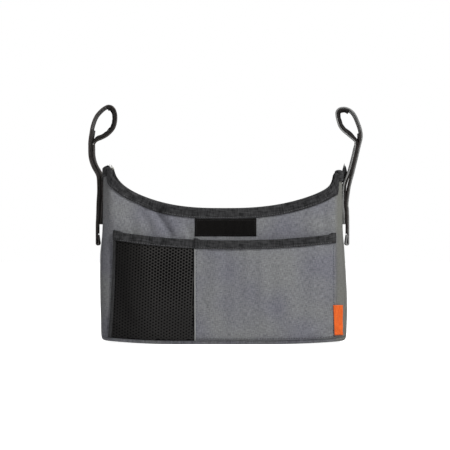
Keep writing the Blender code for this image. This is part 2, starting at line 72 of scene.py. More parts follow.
# Layers of the wall
CLEARANCE = 0.0003
SHELL_CLOTH = 0.0012
FOAM = 0.0024
FOAM_MARGIN = 0.002
LINING_CLOTH = 0.0008
SHELL_SEAM_TURN = math.radians(65)
BOARD_THICKNESS = 0.002
DIVIDER_THICKNESS = 0.0028
DIVIDER_HEIGHT = 0.120
DIVIDER_PLACE = 0.072

# Tape, pockets and patch
TAPE = 0.001
TAPE_CLEARANCE = 0.0006
RIM_TAPE_WIDTH = 0.0115
RIM_END_GAP = 0.0005
RIM_CROWN = 0.0014
LEAST_CUT = 0.62
POCKET_TAPE_WIDTH = 0.0102
POCKET_CROWN = 0.0006
TRIM_WIDTH = 0.0038
TRIM_THICKNESS = 0.0016
POCKET_SPLIT = -0.0378
POCKET_DIP_PLACE = 0.010
POCKET_DIP_HEIGHT = 0.1377
POCKET_LEFT_RISE = 0.0122
POCKET_RIGHT_RISE = 0.0076
POCKET_CLOTH = 0.0012
POCKET_FULLNESS = 0.0095
FULLNESS_POWER = 1.2
STANDOFF_RAMP = 1.15
BACKING_CLOTH = 0.0006
NET_CLOTH = 0.0009
NET_FULLNESS = 0.0080
NET_LEAN = 0.003
NET_FOOT = 0.0046
PATCH_WIDTH = 0.0816
PATCH_HEIGHT = 0.0234
PATCH_PLACE = 0.0042
PATCH_THICKNESS = 0.0016
TAG_LENGTH = 0.0118
TAG_TAPER = 0.0022
TAG_CURL = 0.0013
TAG_SKEW = 0.0010
TAG_OVER_SEAM = 0.0018
TAG_HEIGHT = 0.041
TAG_BOTTOM = 0.0095
TAG_RIBBON = 0.0006

# Straps, with the closure line and the loop's outer face as (out from the mouth's side, up)
STRAP_WIDTH = 0.025
WEBBING = 0.0020
GRIP_TAPE = 0.0018
STRAP_ROOT_HEIGHT = 0.161
TAIL_DROP = 0.026
HEM_LENGTH = 0.012
HEM_BULB = 0.0030
LOOP_HEIGHT = 0.262
LOOP_TAPE_END = 0.6
HOOK_TAPE_START = 0.875
LEFT_SEWN = 0.046
LEFT_CLOSURE = ((0.0073, 0.0628), (0.0092, 0.0697), (0.0138, 0.0779), (0.0168, 0.0854),
                (0.0184, 0.0929), (0.0188, 0.1011), (0.0184, 0.1093))
RIGHT_SEWN = 0.029
RIGHT_CLOSURE = ((0.0098, 0.0496), (0.0123, 0.0605), (0.0153, 0.0715), (0.0179, 0.0824),
                 (0.0206, 0.0933), (0.0230, 0.1043), (0.0243, 0.1114))
LEFT_LOOP = ((0.0109, 0.1138), (0.0052, 0.1166), (-0.0021, 0.1207), (-0.0087, 0.1267),
             (-0.0128, 0.1333), (-0.0148, 0.1428), (-0.0142, 0.1520), (-0.0107, 0.1590),
             (-0.0049, 0.1616), (0.0011, 0.1596), (0.0072, 0.1547), (0.0128, 0.1481),
             (0.0165, 0.1401), (0.0190, 0.1312), (0.0205, 0.1220))
RIGHT_LOOP = ((0.0156, 0.1175), (0.0102, 0.1222), (0.0042, 0.1272), (-0.0004, 0.1331),
              (-0.0032, 0.1408), (-0.0049, 0.1490), (-0.0041, 0.1546), (-0.0001, 0.1580),
              (0.0061, 0.1588), (0.0125, 0.1570), (0.0177, 0.1532), (0.0218, 0.1472),
              (0.0248, 0.1404), (0.0276, 0.1328), (0.0292, 0.1257), (0.0295, 0.1189))

HALF_WIDTH = BODY_WIDTH / 2
HALF_DEPTH = BODY_DEPTH / 2
FRONT_REACH = HALF_WIDTH - CORNER_RADIUS
CORNER_ARC = CORNER_RADIUS * math.pi / 2
QUARTER_ROUND = FRONT_REACH + CORNER_ARC + HALF_DEPTH - CORNER_RADIUS
HALF_ROUND = 2 * QUARTER_ROUND
FRONT_PEAK = FRONT_REACH + CORNER_RADIUS * PEAK_TURN
BACK_PEAK = HALF_ROUND - FRONT_PEAK
SHELL_SEAM = FRONT_REACH + CORNER_RADIUS * SHELL_SEAM_TURN
BACK_DIP_HEIGHT = FRONT_DIP_HEIGHT + BACK_OVER_FRONT
FOAM_DEPTH = SHELL_CLOTH + CLEARANCE
LINING_DEPTH = FOAM_DEPTH + FOAM + CLEARANCE
WALL_DEPTH = LINING_DEPTH + LINING_CLOTH
FLOOR_BOTTOM = SHELL_CLOTH + BOARD_THICKNESS + 2 * CLEARANCE
FLOOR_TOP = FLOOR_BOTTOM + LINING_CLOTH
# The side walls move as the bag hangs by its straps: both draw in towards the mouth, the right one is
# fuller near the base, and the back right corner spreads.
SHIFT_FROM = 0.110
DRAW_FROM = 0.090
LEFT_DRAW = 0.0033
LEFT_DRAW_REACH = 0.075
RIGHT_DRAW = 0.0027
RIGHT_DRAW_REACH = 0.070
RIGHT_FULLNESS = 0.0036
FULL_BELOW = 0.030
FULL_REACH = 0.090
BACK_SPLAY = 0.0055
SPLAY_FROM = 0.150
SPLAY_REACH = 0.060
LEFT_LIFT = 1.25
FRONT_PEAK_HEIGHT = FRONT_DIP_HEIGHT + SWEEP_RISE + FRONT_CORNER_RISE
BACK_PEAK_HEIGHT = BACK_DIP_HEIGHT + SWEEP_RISE + BACK_CORNER_RISE
POCKET_EDGE = FRONT_REACH - CLEARANCE
POCKET_BOTTOM = BASE_SEAM_HEIGHT + CLEARANCE
WALL_BOTTOM = BASE_SEAM_HEIGHT + CLEARANCE
PATCH_BOTTOM = FRONT_DIP_HEIGHT - RIM_TAPE_WIDTH - PATCH_HEIGHT

# How finely cloth is divided, and how it hangs
WALL_STEP = 0.0032
BACK_TALL = 0.22
TAPE_STEP = 0.0022
POCKET_STEP = 0.0025
STITCH_DROP = 0.86
STITCH_PULL = 0.00035
STITCH_PULL_REACH = 0.07
TAPE_PUCKER = 0.00045
SETTLE_STEP = 0.005
SETTLE_FRAMES = 24
SETTLE_QUALITY = 6
SETTLE_MASS = 0.25
PULL_STIFFNESS = 18
SHEAR_STIFFNESS = 6
BEND_STIFFNESS = 1.2
WALL_SPARE = 0.010
WALL_SAG_MOST = 0.0022
UNDULATION = 0.0016
SEAM_PINCH = 0.0007
SEAM_PINCH_REACH = 0.006
# Creases in the front panel: (x, z) of both ends, depth, half width
CREASES = (
    ((-0.091, 0.183), (-0.066, 0.142), 0.0066, 0.0062),
    ((-0.113, 0.180), (-0.087, 0.146), 0.0034, 0.0070),
    ((-0.051, 0.164), (-0.040, 0.141), 0.0032, 0.0044),
    ((-0.130, 0.176), (-0.114, 0.154), 0.0016, 0.0060),
    ((0.126, 0.174), (0.143, 0.148), 0.0018, 0.0070),
    ((0.070, 0.178), (0.092, 0.152), 0.0012, 0.0080),
)


def base_lift(x, z):
    """How far the base's ends curl up from the floor."""
    beyond = max(0.0, abs(x) - BASE_FLAT_LENGTH / 2)
    share = beyond / (HALF_WIDTH - BASE_FLAT_LENGTH / 2)
    more = LEFT_LIFT if x < 0 else 1.0
    return more * BASE_END_LIFT * share * share * max(0.0, 1 - z / FRONT_DIP_HEIGHT)


def eased(share):
    """A share held between 0 and 1, with a soft start and end."""
    share = min(1.0, max(0.0, share))
    return share * share * (3 - 2 * share)


def between(low, high, share):
    """The number at a share of the way from low to high."""
    return low + (high - low) * share


def unevenness(x, y, seed):
    """Smooth noise between -1 and 1."""
    return noise.noise(Vector((x, y, seed)))


def side_shift(hand, z):
    """How far a side wall's middle stands beyond its plain place."""
    if hand < 0:
        return -LEFT_DRAW * eased((z - DRAW_FROM) / LEFT_DRAW_REACH)
    full = RIGHT_FULLNESS * (1 - eased((z - FULL_BELOW) / FULL_REACH))
    return full - RIGHT_DRAW * eased((z - DRAW_FROM) / RIGHT_DRAW_REACH)


def crease_depth(x, z):
    """How deep the front's creases are at a place."""
    total = 0.0
    for (x0, z0), (x1, z1), deep, wide in CREASES:
        length = math.hypot(x1 - x0, z1 - z0)
        along = ((x - x0) * (x1 - x0) + (z - z0) * (z1 - z0)) / length**2
        off = ((x - x0) * (z1 - z0) - (z - z0) * (x1 - x0)) / length
        total += deep * math.exp(-((off / wide) ** 2)) * math.exp(-(((along - 0.5) / 0.55) ** 4))
    return total


def sag(around, z):
    """How far the wall stands inside the plain section: folds, soft waves and pinched seams."""
    place = abs(around)
    low = max(0.0, z - BASE_SEAM_HEIGHT)
    seam = min(abs(place - SHELL_SEAM), abs(place - HALF_ROUND + SHELL_SEAM), low)
    held = min(1.0, seam / 0.020)
    wave = unevenness(around * 17, z * 15, 3.1) + 0.5 * unevenness(around * 41, z * 33, 8.7)
    pinch = SEAM_PINCH * math.exp(-seam / SEAM_PINCH_REACH)
    crease = crease_depth(around, z) if place < FRONT_REACH else 0.0
    return held * (UNDULATION * wave + crease) + pinch + settled(around, z)


def settled(around, z):
    """The part of the sag that the simulated cloth gives."""
    return sum(field(around, z) for field in settled_fields)


def wall_point(around, z, depth):
    """The point at a distance round the bag, a height, and a depth under the shell's face."""
    depth = depth + sag(around, z)
    hand = -1 if around < 0 else 1
    around = abs(around)
    facing = -1
    if around > QUARTER_ROUND:
        around = HALF_ROUND - around
        facing = 1
    swell = math.sin(math.pi * min(1.0, max(0.0, z / FRONT_PEAK_HEIGHT)))
    half_width = HALF_WIDTH + SIDE_SWELL / 2 * swell
    corner_x = half_width - CORNER_RADIUS
    corner_y = HALF_DEPTH - CORNER_RADIUS
    if around <= FRONT_REACH:
        share = around / FRONT_REACH
        x = corner_x * share
        y = HALF_DEPTH - depth + FRONT_SWELL * swell * (1 - share * share)
    elif around <= FRONT_REACH + CORNER_ARC:
        turn = (around - FRONT_REACH) / CORNER_RADIUS
        x = corner_x + (CORNER_RADIUS - depth) * math.sin(turn)
        y = corner_y + (CORNER_RADIUS - depth) * math.cos(turn)
    else:
        y = QUARTER_ROUND - around
        share = y / corner_y
        x = half_width - depth + SIDE_SWELL / 2 * swell * (1 - share * share)
    moved = min(1.0, max(0.0, around - SHIFT_FROM) / (FRONT_REACH + CORNER_ARC - SHIFT_FROM))
    shift = side_shift(hand, z)
    if facing > 0 and hand > 0:
        from_middle = min(1.0, (QUARTER_ROUND - around) / (HALF_DEPTH - CORNER_RADIUS))
        shift += BACK_SPLAY * eased((z - SPLAY_FROM) / SPLAY_REACH) * from_middle**3
    x += shift * moved**3
    return Vector((hand * x, facing * y, z + base_lift(hand * x, z)))


def outward(around, z):
    """The wall's outward direction."""
    return (wall_point(around, z, -0.001) - wall_point(around, z, 0.001)).normalized()


def mouth_height(around):
    """The height of the wall's top edge, which dips at the front and back and peaks at the corners."""
    right = around >= 0
    lean = -CORNER_LEAN if right else CORNER_LEAN
    around = abs(around)
    if FRONT_PEAK < around < BACK_PEAK:
        share = (around - FRONT_PEAK) / (BACK_PEAK - FRONT_PEAK)
        arch = 4 * (SIDE_ARCH if right else -LEFT_SIDE_DIP) * share * (1 - share)
        return FRONT_PEAK_HEIGHT + (BACK_PEAK_HEIGHT - FRONT_PEAK_HEIGHT) * share + arch + lean
    sweep_power, corner_power = SWEEP_POWER, CORNER_POWER
    if around <= FRONT_PEAK:
        dip, corner_rise = FRONT_DIP_HEIGHT, FRONT_CORNER_RISE
        if right:
            corner_power = FRONT_RIGHT_CORNER
    else:
        dip, corner_rise = BACK_DIP_HEIGHT, BACK_CORNER_RISE
        around = HALF_ROUND - around
        if right:
            sweep_power, corner_power = BACK_RIGHT_SWEEP, BACK_RIGHT_CORNER
    share = around / FRONT_PEAK
    rise = SWEEP_RISE * share**sweep_power + corner_rise * share**corner_power
    return dip + rise + lean * share**LEAN_POWER


def pocket_height(around):
    """The height of the pockets' top edge."""
    if around < POCKET_DIP_PLACE:
        rise, reach = POCKET_LEFT_RISE, POCKET_DIP_PLACE + FRONT_REACH
    else:
        rise, reach = POCKET_RIGHT_RISE, FRONT_REACH - POCKET_DIP_PLACE
    share = (around - POCKET_DIP_PLACE) / reach
    return POCKET_DIP_HEIGHT + rise * share * share


def pocket_z(around, share):
    """The height at a share of the way up a pocket."""
    return between(POCKET_BOTTOM, pocket_height(around), share)


def in_place(offset):
    """The distance round the bag of a place that is already counted from the middle of the front."""
    return offset


def behind(offset):
    """The distance round the bag of a place that lies this far from the middle of the back."""
    return math.copysign(HALF_ROUND - abs(offset), -offset)


def shares(count):
    """Even steps from 0 to 1."""
    return [step / count for step in range(count + 1)]


def divided(start, end, step):
    """Even places from start to end, no further apart than step."""
    count = max(1, math.ceil(abs(end - start) / step))
    return [start + (end - start) * share for share in shares(count)]


# Materials


def linear(code):
    """An sRGB hex colour as linear red, green, blue and alpha."""
    parts = [int(code[i : i + 2], 16) / 255 for i in (1, 3, 5)]
    return (*(part / 12.92 if part <= 0.04045 else ((part + 0.055) / 1.055) ** 2.4 for part in parts), 1.0)


def add(tree, kind, values=None, links=None, **settings):
    """Adds a node with its own settings, its inputs' constant values, and the sockets that feed it."""
    node = tree.nodes.new(kind)
    for name, value in settings.items():
        setattr(node, name, value)
    for name, value in (values or {}).items():
        node.inputs[name].default_value = value
    for name, socket in (links or {}).items():
        tree.links.new(socket, node.inputs[name])
    return node


def new_material(name, roughness, sheen=0.0, gloss=0.3):
    """An empty Principled material: its tree and its shader."""
    material = bpy.data.materials.new(name)
    material.use_nodes = True
    shader = material.node_tree.nodes["Principled BSDF"]
    shader.inputs["Roughness"].default_value = roughness
    shader.inputs["Sheen Weight"].default_value = sheen
    shader.inputs["Specular IOR Level"].default_value = gloss
    return material, material.node_tree, shader


# Where along its noise a cloth's fleck and its slow drift of tone begin and end
FLECK_FROM, FLECK_TO = 0.36, 0.64
DRIFT_SCALE = 15.0


def woven(
    name, dark, light, tint, pitch, streak, roughness=0.9, sheen=0.05, gloss=0.2, relief=0.25, thread=0.0004
):
    """A woven cloth: threads crossing at a pitch, flecked along their length, and a slow drift of tone.

    It reads the piece's own map in metres, so the weave follows the cloth round its folds.
    """
    material, tree, shader = new_material(name, roughness, sheen, gloss)
    cloth = add(tree, "ShaderNodeUVMap", uv_map="cloth")
    split = add(tree, "ShaderNodeSeparateXYZ", links={0: cloth.outputs[0]})
    waves = []
    for axis in (0, 1):
        turn = add(
            tree, "ShaderNodeMath", {1: math.pi / pitch}, {0: split.outputs[axis]}, operation="MULTIPLY",
        )
        waves.append(add(tree, "ShaderNodeMath", links={0: turn.outputs[0]}, operation="SINE"))
    crossing = add(
        tree, "ShaderNodeMath", links={0: waves[0].outputs[0], 1: waves[1].outputs[0]}, operation="MULTIPLY",
    )
    over = add(tree, "ShaderNodeMath", {1: 0.0}, {0: crossing.outputs[0]}, operation="GREATER_THAN")
    rounds = [add(tree, "ShaderNodeMath", links={0: wave.outputs[0]}, operation="ABSOLUTE") for wave in waves]
    height = add(
        tree, "ShaderNodeMix", links={0: over.outputs[0], 2: rounds[0].outputs[0], 3: rounds[1].outputs[0]},
        data_type="FLOAT",
    )
    flecks = []
    for stretch in ((1 / streak, 1 / (streak * 6), 1), (1 / (streak * 6), 1 / streak, 1)):
        laid = add(tree, "ShaderNodeMapping", {"Scale": stretch}, {"Vector": cloth.outputs[0]})
        flecks.append(add(
            tree, "ShaderNodeTexNoise", {"Scale": 1.0, "Detail": 2.0}, {"Vector": laid.outputs[0]},
        ))
    fleck = add(
        tree, "ShaderNodeMix", {0: 0.5}, {2: flecks[0].outputs[0], 3: flecks[1].outputs[0]},
        data_type="FLOAT",
    )
    ramp = add(tree, "ShaderNodeValToRGB", links={0: fleck.outputs[0]})
    for end, position, colour in zip(ramp.color_ramp.elements, (FLECK_FROM, FLECK_TO), (dark, light)):
        end.position = position
        end.color = linear(colour)
    drift = add(
        tree, "ShaderNodeTexNoise", {"Scale": DRIFT_SCALE, "Detail": 1.0}, {"Vector": cloth.outputs[0]},
    )
    patch = add(
        tree, "ShaderNodeMapRange", {1: FLECK_FROM, 2: FLECK_TO, 3: 0.0, 4: 1.0}, {0: drift.outputs[0]},
    )
    tone = add(
        tree, "ShaderNodeMix", {7: linear(tint)}, {0: patch.outputs[0], 6: ramp.outputs[0]}, data_type="RGBA",
        blend_type="MULTIPLY",
    )
    tree.links.new(tone.outputs[2], shader.inputs["Base Color"])
    bump = add(
        tree, "ShaderNodeBump", {"Strength": relief, "Distance": thread}, {"Height": height.outputs[0]},
    )
    tree.links.new(bump.outputs[0], shader.inputs["Normal"])
    return material


# 600-denier melange polyester: grey yarn with paler and bluer fibres. The real threads lie 0.5 mm
# apart, too fine to show, so they are drawn 1.1 mm apart.
shell_cloth = woven("grey melange woven polyester", "#5f6061", "#88898a", "#eae9f6", 0.0011, 0.0009)
# The same cloth where the pocket's hem is folded and catches the light
hem_cloth = woven("folded grey polyester hem", "#8f908f", "#acadac", "#eeeeee", 0.0011, 0.0010)
# The same family of cloth, lighter in weight and flatter, for the inside
lining_cloth = woven("grey woven lining", "#636365", "#747476", "#ecebec", 0.0008, 0.0012, roughness=0.8,
                     relief=0.12)
# Dull black cloth behind the net
backing_cloth = woven("black woven backing", "#060606", "#0c0b0b", "#eeeeee", 0.0009, 0.0012, sheen=0.0,
                      gloss=0.05)
# Polyester binding: fine ribs across a dull black tape
binding_tape = woven("black ribbed binding tape", "#0c0c0d", "#434344", "#e0e0e2", 0.0011, 0.0017,
                     roughness=0.85, sheen=0.0, gloss=0.15, relief=0.5)
# Polypropylene webbing with a brownish cast, ribs 1.6 mm apart
strap_webbing = woven("charcoal webbing", "#2b2826", "#504c4a", "#e6e0de", 0.0016, 0.0018, roughness=0.8,
                      relief=0.5, thread=0.0006)
# The same webbing on the right, painted paler as a highlight where the light falls on it
highlit_webbing = woven("charcoal webbing, painted highlight", "#686867", "#929291", "#e8e8e8", 0.0016, 0.0018, roughness=0.8,
                     relief=0.5, thread=0.0006)
# Woven satin label ribbon, with close threads and a little gloss
label_ribbon = woven("orange satin ribbon", "#d0541a", "#e26a26", "#f2ece8", 0.0006, 0.0010, roughness=0.6,
                     relief=0.1)


def plain(name, colour, variant, size, roughness, gloss=0.2, relief=0.2, bump_distance=0.0004):
    """A fibrous or moulded surface: two close colours and a fine grain, on Object coordinates."""
    material, tree, shader = new_material(name, roughness, gloss=gloss)
    place = add(tree, "ShaderNodeTexCoord")
    grain = add(
        tree, "ShaderNodeTexNoise", {"Scale": 1 / size, "Detail": 3.0}, {"Vector": place.outputs["Object"]},
    )
    tone = add(
        tree, "ShaderNodeMix", {6: linear(colour), 7: linear(variant)}, {0: grain.outputs[0]},
        data_type="RGBA",
    )
    bump = add(
        tree, "ShaderNodeBump", {"Strength": relief, "Distance": bump_distance},
        {"Height": grain.outputs[0]},
    )
    tree.links.new(tone.outputs[2], shader.inputs["Base Color"])
    tree.links.new(bump.outputs[0], shader.inputs["Normal"])
    return material


def paint_shade_along(material, colour, axis, start, end, most):
    """Paints shade into a material: turns its colour towards another from start to end along an axis of its
    piece.
    """
    tree = material.node_tree
    shader = tree.nodes["Principled BSDF"]
    before = shader.inputs["Base Color"].links[0].from_socket
    place = add(tree, "ShaderNodeTexCoord")
    split = add(tree, "ShaderNodeSeparateXYZ", links={0: place.outputs["Object"]})
    share = add(tree, "ShaderNodeMapRange", {1: start, 2: end, 3: 0.0, 4: most}, {0: split.outputs[axis]})
    mixed = add(
        tree, "ShaderNodeMix", {7: linear(colour)}, {0: share.outputs[0], 6: before}, data_type="RGBA",
    )
    tree.links.new(mixed.outputs[2], shader.inputs["Base Color"])


# Warp-knitted polyester net: round, slightly shiny threads
net_yarn = plain("black knitted net yarn", "#252423", "#3b3a39", 0.0012, 0.75, gloss=0.08, relief=0.3)
# Painted shade: the net's yarn is darkened towards its outer seam and its foot, where the net is drawn
# together and less of its yarn catches the light
paint_shade_along(net_yarn, "#0b0a0a", 0, -0.090, -0.128, 0.84)
paint_shade_along(net_yarn, "#1d1c1c", 2, 0.095, 0.035, 0.55)
# Loop side of hook and loop: a deep matte pile
loop_pile = plain("black loop pile", "#0a0909", "#1a1918", 0.0011, 1.0, gloss=0.03, relief=1.0,
                  bump_distance=0.0010)
# The same pile on the straps, flattened and dusty from use
strap_pile = plain("flattened charcoal loop pile", "#1f1d1c", "#393635", 0.0012, 1.0, gloss=0.03, relief=0.9,
                   bump_distance=0.0009)
# Hook side of hook and loop: stiff nylon hooks on tape
hook_tape = plain("black hook tape", "#2a2625", "#3a3634", 0.0012, 0.7, relief=0.8, bump_distance=0.0008)
# Closed-cell foam sheet between shell and lining
foam = plain("off-white foam", "#d2d0c8", "#dddbd4", 0.0015, 0.95, relief=0.4)
# Polyethylene stiffening board, dull from the roller
board = plain("dark stiffening board", "#38383a", "#414143", 0.004, 0.6, relief=0.1)
# Bonded polyester thread: dark on the grey cloth, paler where it shines on the tape, dull on the patch
cloth_thread = plain("dark grey sewing thread", "#333436", "#424346", 0.0005, 0.6)
tape_thread = plain("black sewing thread", "#58585a", "#6a6a6c", 0.0005, 0.6)
patch_thread = plain("black patch thread", "#1c1b1b", "#2a2929", 0.0005, 0.8)
# Loose yarn at a cut end
frayed = plain("frayed pale yarn", "#a9a89e", "#c4c3b8", 0.0005, 0.9)
# Painted shade on the strips beside the pockets: the left darkened as in the shade of the strap, the right
# darkened and given a brown cast
paint_shade_along(shell_cloth, "#3e3d3c", 0, -0.143, -0.153, 0.34)
paint_shade_along(shell_cloth, "#66665c", 0, 0.149, 0.155, 0.62)
# Piping tape with its darkest threads painted paler than the binding's, as a highlight along its crown
highlit_piping_tape = woven("black piping, painted highlight", "#1b1b1c", "#39393a", "#e4e4e6", 0.0011, 0.0016, relief=0.4)


# Pieces


def link_piece(name, mesh, material, node=None, slot=None, thickness=0.0, offset=-1.0):
    """Puts a finished mesh in the scene as a piece that rides on the bag.

    A sheet is given its thickness, inwards unless offset asks for it outwards.
    """
    mesh.materials.clear()
    mesh.materials.append(material)
    mesh.shade_smooth()
    piece = bpy.data.objects.new(name, mesh)
    bpy.context.scene.collection.objects.link(piece)
    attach(piece, "root")
    if node:
        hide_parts(node)
    if thickness:
        solidify = piece.modifiers.new("thickness", "SOLIDIFY")
        solidify.thickness = thickness
        solidify.offset = offset
    return piece


settled_fields = []


def settle():
    """Lets the front panel's cloth settle, a little too large and held along its seams.

    It gives how far the cloth then lies inwards, as a function of the distance round the bag and the
    height, never more than WALL_SAG_MOST either way.
    """
    across = divided(-SHELL_SEAM, SHELL_SEAM, SETTLE_STEP)
    up = shares(math.ceil((mouth_height(-SHELL_SEAM) - WALL_BOTTOM) / SETTLE_STEP))
    wide, tall = len(across), len(up)
    mesh = sheet_mesh("settling", across, up, wall_z, lambda around, z: 0.0)
    rest = [vert.co.copy() for vert in mesh.vertices]
    normals = [outward(around, wall_z(around, share)) for share in up for around in across]
    sheet = bpy.data.objects.new("settling", mesh)
    scene = bpy.context.scene
    scene.collection.objects.link(sheet)
    edge = [i for i in range(wide * tall) if i % wide in (0, wide - 1) or i // wide in (0, tall - 1)]
    sheet.vertex_groups.new(name="sewn").add(edge, 1.0, "REPLACE")
    cloth = sheet.modifiers.new("cloth", "CLOTH").settings
    cloth.quality = SETTLE_QUALITY
    cloth.mass = SETTLE_MASS
    cloth.tension_stiffness = cloth.compression_stiffness = PULL_STIFFNESS
    cloth.shear_stiffness = SHEAR_STIFFNESS
    cloth.bending_stiffness = BEND_STIFFNESS
    cloth.vertex_group_mass = "sewn"
    cloth.shrink_min = -WALL_SPARE
    for frame_number in range(1, SETTLE_FRAMES + 1):
        scene.frame_set(frame_number)
    graph = bpy.context.evaluated_depsgraph_get()
    hung = [vert.co.copy() for vert in sheet.evaluated_get(graph).data.vertices]
    scene.frame_set(1)
    bpy.data.objects.remove(sheet)
    depths = [(before - after).dot(out) for before, after, out in zip(rest, hung, normals)]
    depths = [WALL_SAG_MOST * math.tanh(depth / WALL_SAG_MOST) for depth in depths]

    def inwards(around, z):
        top = mouth_height(around)
        if abs(around) >= SHELL_SEAM or not WALL_BOTTOM < z < top:
            return 0.0
        column = (around + SHELL_SEAM) / (2 * SHELL_SEAM) * (wide - 1)
        row = (z - WALL_BOTTOM) / (top - WALL_BOTTOM) * (tall - 1)
        left, low = min(wide - 2, int(column)), min(tall - 2, int(row))
        corners = [depths[(low + j) * wide + left + i] for j in (0, 1) for i in (0, 1)]
        lower = between(corners[0], corners[1], column - left)
        upper = between(corners[2], corners[3], column - left)
        return between(lower, upper, row - low)

    return inwards


def grid_mesh(name, across, up, place, measure):
    """A mesh of quads over across and up, laid by place, with its cloth map given by measure."""
    mesh = bpy.data.meshes.new(name)
    wide = len(across)
    points = [place(u, v) for v in up for u in across]
    lowest = [row * wide + column for row in range(len(up) - 1) for column in range(wide - 1)]
    faces = [(corner, corner + 1, corner + wide + 1, corner + wide) for corner in lowest]
    mesh.from_pydata(points, [], faces)
    measures = [measure(u, v) for v in up for u in across]
    layer = mesh.uv_layers.new(name="cloth")
    for loop in mesh.loops:
        layer.data[loop.index].uv = measures[loop.vertex_index]
    return mesh


def sheet_mesh(name, across, up, z_at, depth_of, where=in_place):
    """A grid laid on the wall, at the heights that z_at(around, share) gives and depth_of(around, z) deep."""

    def place(offset, share):
        around = where(offset)
        z = z_at(around, share)
        return wall_point(around, z, depth_of(around, z))

    return grid_mesh(name, across, up, place, lambda offset, share: (offset, z_at(where(offset), share)))


def wall_z(around, share, bottom=WALL_BOTTOM):
    """The height at a share of the way up the wall."""
    return between(bottom, mouth_height(around), share)


def wall_sheet(
    name, start, end, depth, thickness, material, bottom=WALL_BOTTOM, step=WALL_STEP, where=in_place,
    tall=None, **links
):
    """A sheet of the wall from start to end round the bag, from bottom up to the mouth."""
    ends = [mouth_height(where(offset)) for offset in (start, end, (start + end) / 2)]
    rows = math.ceil((tall or max(ends) - bottom) / step)
    mesh = sheet_mesh(
        name, divided(start, end, step), shares(rows), lambda around, share: wall_z(around, share, bottom),
        lambda around, z: depth, where,
    )
    return link_piece(name, mesh, material, thickness=thickness, **links)


def weld(mesh, distance):
    """Joins the points of a mesh that lie within a distance of one another."""
    form = bmesh.new()
    form.from_mesh(mesh)
    bmesh.ops.remove_doubles(form, verts=form.verts, dist=distance)
    form.to_mesh(mesh)
    form.free()


def make_walls():
    """The shell and its padding, panel by panel."""
    front = SHELL_SEAM - CLEARANCE / 2
    side_from = SHELL_SEAM + CLEARANCE / 2
    side_to = HALF_ROUND - side_from
    for side, start, end, where, tall in (
        ("front", -front, front, in_place, None), ("right_side", side_from, side_to, in_place, None),
        ("left_side", -side_to, -side_from, in_place, None), ("back", -front, front, behind, BACK_TALL),
    ):
        shell = wall_sheet(
            f"{side}_cloth", start, end, 0.0, SHELL_CLOTH, shell_cloth, where=where, tall=tall,
            node=f"{side}_panel", slot="grey_woven_polyester",
        )
        pad = wall_sheet(
            f"{side}_padding", start + FOAM_MARGIN, end - FOAM_MARGIN, FOAM_DEPTH, FOAM, foam,
            step=2 * WALL_STEP, where=where, tall=tall, node=f"{side}_foam", slot="padding_foam",
        )


def make_lining():
    """The lining's walls, sewn into one sleeve."""
    sleeve = wall_sheet(
        "lining_sleeve", -HALF_ROUND, HALF_ROUND, LINING_DEPTH, LINING_CLOTH, lining_cloth,
        bottom=FLOOR_TOP + CLEARANCE, step=1.5 * WALL_STEP, node="lining_walls", slot="grey_lining_cloth",
    )
    weld(sleeve.data, 1e-6)


def make_base():
    """The base panel with its turned-up edge, and the lining's floor over the board."""
    rounds = divided(-HALF_ROUND, HALF_ROUND, 2 * WALL_STEP)
    profile = [(0.0, BASE_SEAM_HEIGHT)]
    for step in range(7):
        turn = math.pi / 2 * step / 6
        profile.append((BASE_EDGE_RADIUS * (1 - math.cos(turn)), BASE_EDGE_RADIUS * (1 - math.sin(turn))))
    inner = [0.15, 0.35, 0.6, 0.85, 1.0]

    def place(around, index):
        inset, z = profile[min(round(index), len(profile) - 1)]
        point = wall_point(around, z, inset)
        beyond = round(index) - len(profile) + 1
        if beyond > 0:
            spine = Vector((max(-1.0, min(1.0, point.x / HALF_WIDTH)) * (HALF_WIDTH - HALF_DEPTH), 0.0, 0.0))
            share = inner[beyond - 1]
            point = Vector((point.x + (spine.x - point.x) * share, point.y * (1 - share), 0.0))
        point.z = z + base_lift(point.x, z)
        return point

    index_all = list(range(len(profile) + len(inner)))[::-1]
    mesh = grid_mesh("base_cloth", rounds, index_all, place, lambda around, index: (around, -0.003 * index))
    weld(mesh, 1e-5)
    plan = mesh.uv_layers["cloth"]
    for face in mesh.polygons:
        if face.center.z < BASE_EDGE_RADIUS / 3 + BASE_END_LIFT:
            for corner in face.loop_indices:
                plan.data[corner].uv = mesh.vertices[mesh.loops[corner].vertex_index].co.xy
    link_piece(
        "base_cloth", mesh, shell_cloth, node="base_panel", slot="grey_woven_polyester",
        thickness=SHELL_CLOTH,
    )

    inset = LINING_DEPTH

    def floor_place(across, up):
        x = across * (HALF_WIDTH - inset)
        y = up * (HALF_DEPTH - inset)
        radius = CORNER_RADIUS - inset
        over_x = max(0.0, abs(x) - (HALF_WIDTH - CORNER_RADIUS))
        over_y = max(0.0, abs(y) - (HALF_DEPTH - CORNER_RADIUS))
        reach = math.hypot(over_x, over_y)
        if over_x > 0 and over_y > 0 and reach > 0:
            pull = min(1.0, max(over_x, over_y) / reach)
            x = math.copysign(HALF_WIDTH - CORNER_RADIUS + over_x * pull, x)
            y = math.copysign(HALF_DEPTH - CORNER_RADIUS + over_y * pull, y)
        return Vector((x, y, FLOOR_TOP + base_lift(x, FLOOR_TOP)))

    mesh = grid_mesh(
        "lining_bottom", divided(-1, 1, 0.03), divided(-1, 1, 0.08), floor_place,
        lambda across, up: (across * HALF_WIDTH, up * HALF_DEPTH),
    )
    floor = link_piece(
        "lining_bottom", mesh, lining_cloth, node="lining_floor", slot="grey_lining_cloth",
        thickness=LINING_CLOTH,
    )
    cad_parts["base_board"].data.materials.clear()
    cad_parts["base_board"].data.materials.append(board)


